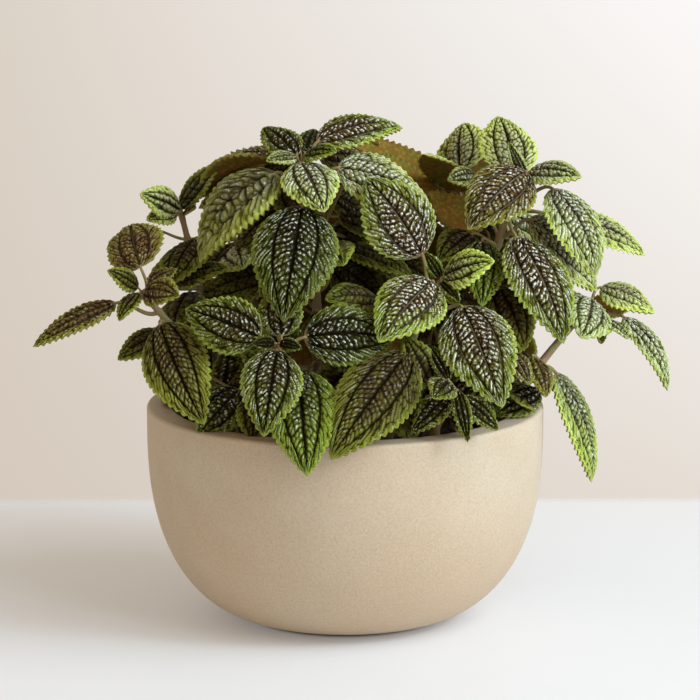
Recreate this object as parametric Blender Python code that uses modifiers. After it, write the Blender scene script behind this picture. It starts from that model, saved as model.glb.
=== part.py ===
"""Potted friendship plant: a stoneware bowl, its soil, and leafy shoots that stand in the soil.

Everything is laid out in metres with +Z up. The origin is the middle of the bowl's underside.
Places and sizes of the plant are given in whole millimetres, because that is how they were judged.
"""

import math
from collections import namedtuple

import bmesh
import bpy
from mathutils import Quaternion, Vector

MM = 0.001
GAP = 0.3 * MM                  # clearance between pieces that touch

# The bowl
POT_RADIUS = 100 * MM           # outside, at the rim
POT_HEIGHT = 109 * MM
WALL = 10 * MM                  # thickness of the wall and rim
FLOOR = 9 * MM                  # thickness of the bottom
FOOT_RADIUS = 46 * MM           # flat underside
FOOT_STEP = 1.5 * MM            # height of the foot line
UPRIGHT_FROM = 98.5 * MM        # height where the wall stands upright
RIM_ROUND = 3 * MM              # rounding of the rim's two edges
SIDE_POWER = 1.05               # how the radius grows from foot to rim
RISE_POWER = 0.8                # how the height grows from foot to rim
TURN_STEPS = 64
OUTER_STEPS = 10
INNER_STEPS = 7
RIM_STEPS = 3

# The soil
SOIL_TOP = 98 * MM              # at the middle of the bowl
SOIL_EDGE = 94 * MM             # at the wall
SOIL_MOUND = ((0.5, 97 * MM), (0.85, 95.5 * MM))  # share of the edge's radius, and height there
ROOT_DEPTH = 8 * MM             # how far below the soil's top a stem reaches
HOLE_SIDES = 10
HOLE_LENGTH = 24 * MM           # of the cutter, which stands out of the soil

# The plant
STEM_BASE_RADIUS = 2.6 * MM
STEM_TIP_RADIUS = 1.5 * MM
STEM_POINTS = 9
PETIOLE_RADIUS = 1.0 * MM
PETIOLE_EASE = 0.4              # how long a petiole keeps its first and last direction, over its length
RING_SIDES = 8                  # points around a section of a leaf
BLADE_THICKNESS = 1.2 * MM
BLADE_CAMBER = 0.10             # how far a blade's edges fall below its middle, over its width
BLADE_BOW = 0.11                # how far a blade arches, over its length
BLADE_RATIO = 0.64              # width over length of a leaf that is placed by rule
BLADE_STATIONS = (0.06, 0.2, 0.4, 0.6, 0.8, 0.93)
PETIOLE_STATIONS = (0.0, 0.45, 0.9)

# Colours
STONEWARE = (0.55, 0.45, 0.33)
POTTING_SOIL = (0.05, 0.035, 0.025)
STEM_BROWN = (0.25, 0.13, 0.07)
LEAF_GREEN = (0.06, 0.12, 0.03)

# Each shoot: where its stem stands on the soil (x, y), the point that it bends towards, its tip,
# and the way its leaves face. A shoot with a twist grows its leaves by rule, turned by that angle.
Shoot = namedtuple("Shoot", "root knee tip faces twist", defaults=(None,))
SHOOTS = {
    "crown_left": Shoot((-16, 2), (-10, 0, 170), (-22, -16, 234), (0, -0.55, 0.85)),
    "centre": Shoot((20, -38), (24, -50, 140), (47, -40, 178), (0, -0.75, 0.65)),
    "front": Shoot((-16, -44), (-22, -56, 135), (-33, -74, 153), (0, -0.85, 0.5)),
    "crown_right": Shoot((54, -2), (68, 2, 170), (87, -4, 224), (0.2, -0.55, 0.8)),
    "left": Shoot((-52, -24), (-70, -26, 140), (-101, -32, 171), (-0.35, -0.65, 0.7)),
    "left_upper": Shoot((-56, 14), (-72, 14, 160), (-83, 19, 203), (-0.3, -0.3, 0.9)),
    "right": Shoot((68, -26), (98, -24, 140), (126, 10, 158), (0.5, -0.4, 0.75)),
    "back_crown": Shoot((-6, 44), (-4, 50, 170), (4, 58, 212), (0, 0.6, 0.8), 70),
    "back_crown_right": Shoot((36, 40), (44, 44, 165), (66, 48, 212), (0.3, 0.5, 0.8), 100),
    "back_left": Shoot((-38, 44), (-44, 54, 150), (-56, 66, 190), (-0.4, 0.6, 0.7), 50),
    "back_right": Shoot((66, 34), (80, 38, 140), (94, 50, 168), (0.5, 0.6, 0.6), 40),
    "back_low": Shoot((8, 66), (6, 80, 130), (0, 96, 146), (0, 0.85, 0.5), 5),
    "back_low_right": Shoot((50, 58), (53, 70, 120), (56, 82, 136), (0.4, 0.75, 0.5), 100),
    "back_low_left": Shoot((-50, 50), (-56, 62, 125), (-60, 74, 138), (-0.5, 0.7, 0.5), 105),
    "side_left": Shoot((-72, 4), (-76, 12, 115), (-80, 18, 132), (-0.6, 0.1, 0.7)),
    "side_right": Shoot((76, 4), (80, 6, 115), (84, 8, 132), (0.6, 0, 0.7)),
}

# Leaves placed one by one: shoot, how far up the stem it grows, where its blade starts and ends,
# its width, and how far the blade is rolled about its length in degrees.
Leaf = namedtuple("Leaf", "shoot along start tip width roll", defaults=(0,))
LEAVES = (
    Leaf("crown_left", 0.86, (-21, -38, 216), (-30, -72, 164), 41),
    Leaf("crown_left", 0.84, (-34, -22, 230), (-72, -30, 186), 37, -14),
    Leaf("crown_left", 0.84, (-4, -14, 231), (43, -6, 210), 36),
    Leaf("crown_left", 0.97, (-22, -22, 235), (-10, -48, 214), 28),
    Leaf("crown_left", 0.93, (-14, -8, 243), (29, 14, 247), 23),
    Leaf("crown_left", 0.93, (-30, 2, 231), (-75, 22, 209), 30, -35),
    Leaf("centre", 0.93, (38, -38, 191), (10, -26, 228), 37),
    Leaf("centre", 0.93, (43, -47, 180), (16, -82, 156), 33),
    Leaf("centre", 0.80, (57, -50, 168), (76, -88, 125), 36),
    Leaf("centre", 0.62, (31, -70, 149), (-7, -113, 105), 37),
    Leaf("front", 0.90, (-41, -75, 157), (-78, -62, 169), 29),
    Leaf("front", 0.90, (-20, -74, 157), (24, -60, 153), 31),
    Leaf("front", 0.95, (-33, -78, 152), (-39, -112, 116), 29),
    Leaf("front", 0.75, (-23, -70, 141), (-18, -118, 98), 35),
    Leaf("crown_right", 0.96, (84, 0, 225), (77, 28, 251), 30),
    Leaf("crown_right", 0.95, (90, -12, 229), (60, -40, 204), 32),
    Leaf("crown_right", 0.90, (103, -10, 220), (124, -24, 177), 34, 12),
    Leaf("crown_right", 0.85, (112, 10, 202), (152, 20, 181), 22),
    Leaf("crown_right", 0.82, (84, -28, 199), (107, -55, 150), 33),
    Leaf("crown_right", 0.74, (92, -8, 204), (127, 6, 165), 33),
    Leaf("left", 0.97, (-101, -32, 184), (-107, 0, 200), 30),
    Leaf("left", 0.85, (-113, -36, 167), (-154, -42, 146), 15),
    Leaf("left", 0.75, (-91, -48, 159), (-68, -85, 116), 32),
    Leaf("right", 0.90, (140, 0, 153), (162, -10, 117), 19),
    Leaf("left_upper", 0.80, (-75, 5, 192), (-87, -15, 172), 28),
    Leaf("right", 0.50, (106, -3, 125), (125, -2, 68), 27),
    Leaf("side_left", 0.90, (-84, 14, 134), (-98, 18, 118), 18),
    Leaf("side_right", 0.90, (88, 10, 134), (99, 18, 116), 17),
)

# The outer pair of leaves of a shoot that grows by rule: how far up the stem it grows, blade
# length and petiole length in millimetres, the angle that it leans out by, and how far it hangs.
PAIR = dict(along=0.76, blade=54, reach=15, lean=88, hang=0.7)


def vec(values):
    """Whole millimetres as a point in metres."""
    return Vector(values) * MM


def stem_point(shoot, along):
    """A point on a stem: a quadratic curve from its root past its knee to its tip."""
    spec = SHOOTS[shoot]
    foot = Vector((spec.root[0] * MM, spec.root[1] * MM, SOIL_TOP - ROOT_DEPTH))
    knee, tip = vec(spec.knee), vec(spec.tip)
    return (1 - along) ** 2 * foot + 2 * along * (1 - along) * knee + along ** 2 * tip


def stem_heading(shoot, along):
    """The unit direction in which a stem grows at a point."""
    step = 0.01
    return (stem_point(shoot, along + step) - stem_point(shoot, along - step)).normalized()


def stem_radius(along):
    return STEM_BASE_RADIUS + along * (STEM_TIP_RADIUS - STEM_BASE_RADIUS)


def ruled_leaves(shoot):
    """The outer pair of leaves of a shoot."""
    spec = SHOOTS[shoot]
    axis = Vector(spec.faces).normalized()
    side = axis.orthogonal().normalized()
    other = axis.cross(side)
    lean = math.radians(PAIR["lean"])
    rows = []
    for turn in (0, 180):
        angle = math.radians(spec.twist + turn)
        out = math.cos(lean) * axis + math.sin(lean) * (math.cos(angle) * side + math.sin(angle) * other)
        start = stem_point(shoot, PAIR["along"]) / MM + out * PAIR["reach"]
        fall = (out - Vector((0, 0, PAIR["hang"]))).normalized()
        blade = PAIR["blade"]
        rows.append(Leaf(shoot, PAIR["along"], start, start + fall * blade, blade * BLADE_RATIO))
    return rows


def all_leaves():
    rows = list(LEAVES)
    for shoot, spec in SHOOTS.items():
        if spec.twist is not None:
            rows += ruled_leaves(shoot)
    return rows


def blade_width(u):
    """Half-width of an ovate blade over its greatest: a skewed arch drawn out to a point at its end."""
    s = u ** 0.78
    return 1.04 * (4 * s * (1 - s)) ** 0.8 * (1 - 0.42 * u ** 4)


def leaf_rings(shoot, along, start, tip, width, roll):
    """Sections of one leaf from the end of its petiole to its tip, and the tip itself.

    A section has eight points. On the petiole it is a circle, and on the blade a thin lens whose
    middle arches above the line from start to tip and whose edges fall away by the camber.
    """
    start, tip = vec(start), vec(tip)
    facing = Vector(SHOOTS[shoot].faces).normalized()
    chord = tip - start
    across = chord.cross(facing).normalized()
    across.rotate(Quaternion(chord.normalized(), math.radians(roll)))
    up = across.cross(chord).normalized()
    lift = 4 * BLADE_BOW * chord.length * up

    root = stem_point(shoot, along)
    growth = stem_heading(shoot, along)
    outward = start - root
    outward = (outward - outward.dot(growth) * growth).normalized()
    joint = root + outward * (stem_radius(along) + GAP)
    reach = (start - joint).length
    entry = (chord + lift).normalized()
    control = (joint, joint + outward * reach * PETIOLE_EASE, start - entry * reach * PETIOLE_EASE, start)

    rings = []
    for u in PETIOLE_STATIONS:
        centre = sum((math.comb(3, k) * (1 - u) ** (3 - k) * u ** k * control[k] for k in range(4)), Vector())
        heading = outward.lerp(entry, u).normalized()
        beside = heading.cross(up).normalized()
        above = beside.cross(heading)
        ring = []
        for turn in range(RING_SIDES):
            angle = math.pi * (1 - 2 * turn / RING_SIDES)
            ring.append(centre + PETIOLE_RADIUS * (math.cos(angle) * beside + math.sin(angle) * above))
        rings.append(ring)

    for u in BLADE_STATIONS:
        centre = start + u * chord + u * (1 - u) * lift
        heading = (chord + (1 - 2 * u) * lift).normalized()
        above = across.cross(heading)
        half = width * MM / 2 * blade_width(u)
        ring = []
        for turn, v in enumerate((-1, -0.5, 0, 0.5, 1, 0.5, 0, -0.5)):
            side = (0, 1, 1, 1, 0, -1, -1, -1)[turn]
            rise = side * BLADE_THICKNESS / 2 - BLADE_CAMBER * 2 * half * v * v
            ring.append(centre + half * v * across + rise * above)
        rings.append(ring)
    return rings, tip


def clear_scene():
    for item in list(bpy.data.objects):
        bpy.data.objects.remove(item, do_unlink=True)


def new_collection(name):
    collection = bpy.data.collections.new(name)
    bpy.context.scene.collection.children.link(collection)
    return collection


def material(name, colour, roughness, metallic=0.0):
    """A plain Principled finish."""
    finish = bpy.data.materials.new(name)
    finish.use_nodes = True
    shader = finish.node_tree.nodes["Principled BSDF"]
    shader.inputs["Base Color"].default_value = (*colour, 1)
    shader.inputs["Roughness"].default_value = roughness
    shader.inputs["Metallic"].default_value = metallic
    finish.diffuse_color = (*colour, 1)
    return finish


def add_object(name, data, collection, finish=None):
    item = bpy.data.objects.new(name, data)
    collection.objects.link(item)
    if finish:
        data.materials.append(finish)
    return item


def turned(name, profile, collection, finish):
    """A solid turned from a profile that ends on the axis, given as (radius, height) points."""
    mesh = bpy.data.meshes.new(name)
    mesh.from_pydata([(r, 0, z) for r, z in profile], [(i, i + 1) for i in range(len(profile) - 1)], [])
    item = add_object(name, mesh, collection, finish)
    screw = item.modifiers.new("turn", "SCREW")
    screw.axis = "Z"
    screw.steps = screw.render_steps = TURN_STEPS
    screw.use_merge_vertices = True
    screw.merge_threshold = 0.0001
    screw.use_smooth_shade = True
    return item


def arc(centre, radius, start, end, steps):
    """Points on an arc in the (radius, height) plane, between two angles in degrees."""
    points = []
    for i in range(steps + 1):
        angle = math.radians(start + (end - start) * i / steps)
        points.append((centre[0] + radius * math.cos(angle), centre[1] + radius * math.sin(angle)))
    return points


def bowl_side(radius, foot, bottom, steps):
    """The bowl's side from where it stands upright down to its foot, as a soft-cornered curve."""
    rise = UPRIGHT_FROM - bottom
    points = []
    for i in range(steps + 1):
        t = math.radians(90 * (1 - i / steps))
        r = foot + (radius - foot) * math.sin(t) ** SIDE_POWER
        points.append((r, bottom + rise * (1 - max(math.cos(t), 0) ** RISE_POWER)))
    return points


def make_pot(collection):
    outer = bowl_side(POT_RADIUS, FOOT_RADIUS, FOOT_STEP, OUTER_STEPS)
    inner = bowl_side(POT_RADIUS - WALL, FOOT_RADIUS - WALL / 2, FLOOR, INNER_STEPS)
    lip = POT_HEIGHT - RIM_ROUND
    profile = [(0, FLOOR)] + inner[::-1]
    profile += arc((POT_RADIUS - WALL + RIM_ROUND, lip), RIM_ROUND, 180, 90, RIM_STEPS)
    profile += arc((POT_RADIUS - RIM_ROUND, lip), RIM_ROUND, 90, 0, RIM_STEPS)
    profile += outer + [(FOOT_RADIUS - GAP, 0), (0, 0)]
    finish = material("stoneware", STONEWARE, 0.6)
    return turned("pot", profile, collection, finish)


def make_soil(collection, cutters):
    """The soil fills the bowl a little below its rim and has a hole where each stem stands."""
    inner = bowl_side(POT_RADIUS - WALL, FOOT_RADIUS - WALL / 2, FLOOR, INNER_STEPS)
    below = [(r - GAP, z + GAP) for r, z in inner if z < SOIL_EDGE]
    above = [(r - GAP, z + GAP) for r, z in inner if z >= SOIL_EDGE][-1]
    share = (SOIL_EDGE - below[0][1]) / (above[1] - below[0][1])
    edge = (below[0][0] + share * (above[0] - below[0][0]), SOIL_EDGE)
    mound = [(0, SOIL_TOP)] + [(edge[0] * share, height) for share, height in SOIL_MOUND]
    finish = material("potting_soil", POTTING_SOIL, 0.95)
    soil = turned("soil", mound + [edge] + below + [(0, FLOOR + GAP)], collection, finish)
    radius = (STEM_BASE_RADIUS + 2 * GAP) / math.cos(math.pi / HOLE_SIDES)
    for name in SHOOTS:
        foot, heading = stem_point(name, 0), stem_heading(name, 0.03)
        bpy.ops.mesh.primitive_cylinder_add(vertices=HOLE_SIDES, radius=radius, depth=HOLE_LENGTH)
        hole = bpy.context.object
        hole.name = "hole_" + name
        hole.rotation_euler = heading.to_track_quat("Z", "Y").to_euler()
        hole.location = foot + heading * (HOLE_LENGTH / 2 - 2 * GAP)
        for owner in list(hole.users_collection):
            owner.objects.unlink(hole)
        cutters.objects.link(hole)
        hole.hide_render = True
        hole.display_type = "WIRE"
        cut = soil.modifiers.new("hole_" + name, "BOOLEAN")
        cut.operation = "DIFFERENCE"
        cut.object = hole
    return soil


def make_stem(name, collection, finish):
    """A stem is a round rod along its curve, thinner towards its tip."""
    curve = bpy.data.curves.new("stem_" + name, "CURVE")
    curve.dimensions = "3D"
    curve.bevel_depth = STEM_BASE_RADIUS
    curve.bevel_resolution = 1
    curve.use_fill_caps = True
    spline = curve.splines.new("POLY")
    spline.points.add(STEM_POINTS - 1)
    for i, point in enumerate(spline.points):
        along = i / (STEM_POINTS - 1)
        point.co = (*stem_point(name, along), 1)
        point.radius = stem_radius(along) / STEM_BASE_RADIUS
    return add_object("stem_" + name, curve, collection, finish)


def make_leaf(name, row, collection, finish):
    """A leaf is one loft: its rings joined by quads, a cap on the petiole, and a fan at the tip."""
    rings, tip = leaf_rings(*row)
    sides = len(rings[0])
    verts = [point for ring in rings for point in ring] + [tip]
    faces = [tuple(range(sides - 1, -1, -1))]
    for k in range(len(rings) - 1):
        for i in range(sides):
            j = (i + 1) % sides
            faces.append((k * sides + i, k * sides + j, (k + 1) * sides + j, (k + 1) * sides + i))
    last = (len(rings) - 1) * sides
    faces += [(last + i, last + (i + 1) % sides, len(verts) - 1) for i in range(sides)]
    mesh = bpy.data.meshes.new(name)
    mesh.from_pydata(verts, [], faces)
    builder = bmesh.new()
    builder.from_mesh(mesh)
    bmesh.ops.recalc_face_normals(builder, faces=builder.faces)
    builder.to_mesh(mesh)
    builder.free()
    mesh.shade_smooth()
    return add_object(name, mesh, collection, finish)


def main():
    clear_scene()
    parts = new_collection("potted_friendship_plant")
    cutters = new_collection("cutters")
    make_pot(parts)
    make_soil(parts, cutters)
    bark = material("stem", STEM_BROWN, 0.6)
    green = material("leaf", LEAF_GREEN, 0.4)
    for name in SHOOTS:
        make_stem(name, parts, bark)
    counts = {}
    for row in all_leaves():
        counts[row.shoot] = counts.get(row.shoot, 0) + 1
        make_leaf("leaf_%s_%d" % (row.shoot, counts[row.shoot]), row, parts, green)


main()
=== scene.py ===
"""Dresses the potted friendship plant: stoneware bowl, crumbly soil, stems and quilted leaves.

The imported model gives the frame. Places of the plant are whole millimetres in that frame, and the
bowl's own box gives the size of a millimetre there.
"""

import math
import zlib
from collections import namedtuple

import bpy
import numpy as np
from bpy.props import FloatProperty, FloatVectorProperty, IntProperty, PointerProperty
from bpy.types import Operator, Panel, PropertyGroup
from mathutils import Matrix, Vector


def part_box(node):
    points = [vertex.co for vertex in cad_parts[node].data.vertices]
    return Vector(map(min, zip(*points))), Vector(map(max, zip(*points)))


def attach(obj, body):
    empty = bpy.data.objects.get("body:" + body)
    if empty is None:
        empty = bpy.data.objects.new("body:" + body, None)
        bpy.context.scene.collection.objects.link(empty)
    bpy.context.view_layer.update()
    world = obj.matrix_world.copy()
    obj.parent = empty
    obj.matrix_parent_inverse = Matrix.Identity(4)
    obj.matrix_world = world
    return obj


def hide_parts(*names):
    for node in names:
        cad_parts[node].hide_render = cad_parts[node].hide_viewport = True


bl_info = {
    "name": "Potted Friendship Plant",
    "version": (1, 0, 0),
    "blender": (4, 5, 0),
    "location": "View3D > Sidebar > Plant",
    "description": "Builds a friendship plant with quilted leaves in a stoneware bowl",
    "category": "Add Mesh",
}

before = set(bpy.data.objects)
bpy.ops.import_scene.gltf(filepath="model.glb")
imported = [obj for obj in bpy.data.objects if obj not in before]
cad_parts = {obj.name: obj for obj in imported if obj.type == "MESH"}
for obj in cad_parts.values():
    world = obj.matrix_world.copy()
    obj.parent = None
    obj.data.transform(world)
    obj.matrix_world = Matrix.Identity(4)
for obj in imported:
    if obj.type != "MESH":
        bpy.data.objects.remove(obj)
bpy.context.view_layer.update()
BOWL_LOW, BOWL_HIGH = (np.array(corner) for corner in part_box("pot"))
BOWL_HEIGHT_MM = 109
MM = (BOWL_HIGH[2] - BOWL_LOW[2]) / BOWL_HEIGHT_MM
FOOT = np.array(((BOWL_LOW[0] + BOWL_HIGH[0]) / 2, (BOWL_LOW[1] + BOWL_HIGH[1]) / 2, BOWL_LOW[2]))
MAP_NAME = "OFBake"             # of each piece's own flat map

# Rows of a leaf's flat map: the middle and the half-height of its upper sheet and of its lower one,
# and the first and the last row of its stalk.
UPPER_BAND, LOWER_BAND, STALK_BAND = (0.35, 0.27), (0.81, 0.17), (0.005, 0.065)

# Faces: rings and sides of the turned and drawn-out pieces, and steps of the bowl's profile.
BOWL_SIDES, SOIL_SIDES, SOIL_RINGS = 144, 140, 50
OUTER_STEPS, INNER_STEPS, RIM_STEPS = 44, 16, 9
STEM_RINGS, STEM_SIDES = 48, 14
PETIOLE_RINGS, PETIOLE_SIDES = 14, 8
CRUMB_RINGS, CRUMB_SIDES = 3, 6
LOWER_COLUMNS = 8               # fewest columns of faces on the underside of a leaf
FINEST, FINE = 0.88, 0.64       # fineness of the large leaves in front and of the smaller ones
COARSE, COARSEST = 0.5, 0.35    # fineness of the leaves at the back and of those inside

# Shapes
WAVINESS = 0.001                # how uneven the bowl's turning is, over its radius
SOIL_WAVES = 48                 # waves that add up to the soil's lumps
PLUG_GAP, SOIL_GAP = 0.3, 0.4   # between the bowl and the soil, below and at its top, in millimetres
PLUG_END = 3                    # how far under the edge of the soil's top its side ends, likewise
BARE_JOINTS = {0.12, 0.28, 0.44}  # how far up every stem it swells though no leaf need be there
JOINT_REACH, JOINT_SWELL = 1.6, 0.3  # a swelling's half-length in millimetres, its share of the radius
LUMP_ROWS, LUMP_COLUMNS = 64, 32  # size of the table that a leaf's random puckers come from
SIDE_VEIN = 0.5                 # where the side veins run, over the blade's half-width
STALK_MASKS = {"stalk": 1.0, "relief": 0.6}  # the attributes that are not 0 on a leaf's stalk

# Stage
DARK_FADE, EDGE_FADE = 4, 8     # how softly the dark round the foot and the floor end, in millimetres
WALL_HEIGHTS = (-0.235, -0.11)  # how steeply a ray rises where the backdrop changes upwards
WALL_SIDES = (-0.09, 0.09)      # how far a ray goes sideways where the backdrop changes across
LAMPS_FROM = (0.73, -0.42, 0.545)  # the way from the plant to both lamps, whatever its length
LAMPS_AIM = 130                 # height that the lamps look at, in millimetres
AIM_ASIDE, AIM_UP = 2.4, 26.5   # where the camera looks, from the middle of the rim, in millimetres

# How a leaf is coloured: bronze in its middle, fresh green towards its edge, painted glints in silver on
# its puckers, lime at its rim, how light it is (partly its own tone and partly painted light), a painted
# pale sheen over its puckers, how pale its main veins are, and how far its puckers run together into
# ridges. All are amounts from 0 to 1 but the light, which multiplies the colours under the glints.
Look = namedtuple("Look", "bronze fresh silver lime light frost pale ridged", defaults=(0.0, 0.0, 0.0))
LOOKS = {
    "black_green": Look(0.2, 0.7, 0.75, 0.8, 0.7),
    "dull_olive": Look(0.4, 0.3, 0.45, 0.6, 1.75, 0.12, 0.0, 1.0),
    "soft_olive": Look(0.6, 0.35, 0.35, 0.4, 1.8),
    "soft_green": Look(0.35, 0.7, 0.5, 0.6, 2.8, 0.25),
    "pale_silver": Look(0.3, 0.8, 1.0, 0.7, 2.1, 0.25, 0.3),
    "bright_silver": Look(0.2, 0.9, 1.0, 0.8, 1.9, 0.4, 0.2),
    "bronze_lime": Look(0.95, 0.75, 1.0, 0.75, 1.45, 0.0, 0.8),
    "bronze_frost": Look(0.95, 1.0, 0.95, 0.9, 1.75, 0.0, 0.7),
    "bronze": Look(1.0, 0.1, 0.85, 0.35, 1.9, 0.0, 0.9),
    "rust": Look(1.0, 0.1, 0.5, 0.2, 2.4, 0.0, 0.5),
    "fresh": Look(0.1, 1.0, 0.6, 0.8, 1.35),
    "fresh_frost": Look(0.1, 1.0, 0.85, 0.9, 2.4, 0.15),
    "bright_lime": Look(0.1, 1.0, 0.8, 1.0, 3.0, 0.1),
    "golden_olive": Look(0.7, 0.3, 0.25, 0.35, 1.35),
    "dark_rim": Look(0.5, 0.6, 0.8, 0.9, 1.1),
    "grey_green": Look(0.3, 0.5, 1.0, 0.7, 2.5, 0.25),
    "shade": Look(0.7, 0.4, 0.2, 0.5, 1.25),
}

# Each shoot: where its stem stands on the soil (x, y), the point that it bends towards, its tip,
# and the way its leaves face. One with a twist grows its first leaves by rule, turned by that angle.
Shoot = namedtuple("Shoot", "root knee tip faces twist", defaults=(None,))
SHOOTS = {
    "crown_left": Shoot((-16, 2), (-10, 0, 170), (-22, -16, 234), (0, -0.55, 0.85)),
    "centre": Shoot((20, -38), (24, -50, 140), (47, -40, 178), (0, -0.75, 0.65)),
    "front": Shoot((-16, -44), (-22, -56, 135), (-33, -74, 153), (0, -0.85, 0.5)),
    "crown_right": Shoot((54, -2), (68, 2, 170), (87, -4, 224), (0.2, -0.55, 0.8)),
    "left": Shoot((-52, -24), (-70, -26, 140), (-101, -32, 171), (-0.35, -0.65, 0.7)),
    "left_upper": Shoot((-56, 14), (-72, 14, 160), (-83, 19, 203), (-0.3, -0.3, 0.9)),
    "right": Shoot((68, -26), (98, -24, 140), (126, 10, 158), (0.5, -0.4, 0.75)),
    "back_crown": Shoot((-6, 44), (-4, 50, 170), (4, 58, 212), (0, 0.6, 0.8), 70),
    "back_crown_right": Shoot((36, 40), (44, 44, 165), (66, 48, 212), (0.3, 0.5, 0.8), 100),
    "back_left": Shoot((-38, 44), (-44, 54, 150), (-56, 66, 190), (-0.4, 0.6, 0.7), 50),
    "back_right": Shoot((66, 34), (80, 38, 140), (94, 50, 168), (0.5, 0.6, 0.6), 40),
    "back_low": Shoot((8, 66), (6, 80, 130), (0, 96, 146), (0, 0.85, 0.5), 5),
    "back_low_right": Shoot((50, 58), (53, 70, 120), (56, 82, 136), (0.4, 0.75, 0.5), 100),
    "back_low_left": Shoot((-50, 50), (-56, 62, 125), (-60, 74, 138), (-0.5, 0.7, 0.5), 105),
    "side_left": Shoot((-72, 4), (-76, 12, 115), (-80, 18, 132), (-0.6, 0.1, 0.7)),
    "side_right": Shoot((76, 4), (80, 6, 115), (84, 8, 132), (0.6, 0, 0.7)),
    "front_right": Shoot((40, -60), (46, -76, 125), (52, -84, 134), (0.1, -0.8, 0.55)),
}
STEM_FOOT = 90                  # height where a stem leaves its hole in the soil, in millimetres

# A leaf: its shoot, how far up the stem it grows, where its blade starts and ends, its width, its
# look, how far it is rolled about its length in degrees, its arch over its length, and how far each
# half falls, over the half's width.
Leaf = namedtuple("Leaf", "shoot along start tip width look roll bow fold", defaults=(0, 0.11, 0.0))


def leaves_of(rows):
    """The leaves of a table that gives each shoot's leaves without the name of the shoot."""
    return [Leaf(shoot, *row) for shoot, shoot_rows in rows.items() for row in shoot_rows]


# The large leaves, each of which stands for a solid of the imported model, in the order of its nodes.
LARGE_LEAVES = leaves_of({
    "crown_left": [
        (0.86, (-21, -38, 216), (-30, -72, 164), 41, "black_green"),
        (0.84, (-34, -22, 230), (-72, -30, 186), 37, "dull_olive", -14, 0.19),
        (0.84, (-4, -14, 231), (43, -6, 210), 36, "grey_green"),
        (0.97, (-22, -22, 235), (-10, -48, 214), 28, "pale_silver"),
        (0.93, (-14, -8, 243), (29, 14, 247), 23, "bronze_frost", 0, 0.13),
        (0.93, (-30, 2, 231), (-75, 22, 209), 30, "bronze", -35, 0.15, -0.6),
    ],
    "centre": [
        (0.93, (38, -38, 191), (10, -26, 228), 37, "bronze_lime"),
        (0.93, (43, -47, 180), (16, -82, 156), 33, "bronze_frost"),
        (0.80, (57, -50, 168), (76, -88, 125), 36, "bronze_lime"),
        (0.62, (31, -70, 149), (-7, -113, 105), 37, "golden_olive", 0, 0.06),
    ],
    "front": [
        (0.90, (-41, -75, 157), (-78, -62, 169), 29, "dark_rim"),
        (0.90, (-20, -74, 157), (24, -60, 153), 31, "black_green", 0, 0.15),
        (0.95, (-33, -78, 152), (-39, -112, 116), 29, "dark_rim"),
        (0.75, (-23, -70, 141), (-18, -118, 98), 35, "fresh"),
    ],
    "crown_right": [
        (0.96, (84, 0, 225), (77, 28, 251), 30, "soft_green"),
        (0.95, (90, -12, 229), (60, -40, 204), 32, "bronze"),
        (0.90, (103, -10, 220), (124, -24, 177), 34, "pale_silver", 12, 0.14),
        (0.85, (112, 10, 202), (152, 20, 181), 22, "soft_green"),
        (0.82, (84, -28, 199), (107, -55, 150), 33, "bronze_lime"),
        (0.74, (92, -8, 204), (127, 6, 165), 33, "grey_green"),
    ],
    "left": [
        (0.97, (-101, -32, 184), (-107, 0, 200), 30, "rust", 0, 0.15),
        (0.85, (-113, -36, 167), (-154, -42, 146), 15, "rust", 0, 0.08),
        (0.75, (-91, -48, 159), (-68, -85, 116), 32, "soft_olive"),
    ],
    "right": [
        (0.90, (140, 0, 153), (162, -10, 117), 19, "bright_silver", 0, 0.16),
        (0.50, (106, -3, 125), (125, -2, 68), 27, "fresh_frost"),
    ],
    "left_upper": [
        (0.80, (-75, 5, 192), (-87, -15, 172), 28, "shade"),
    ],
    "side_left": [
        (0.90, (-84, 14, 134), (-98, 18, 118), 18, "shade"),
    ],
    "side_right": [
        (0.90, (88, 10, 134), (99, 18, 116), 17, "shade"),
    ],
})

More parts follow.
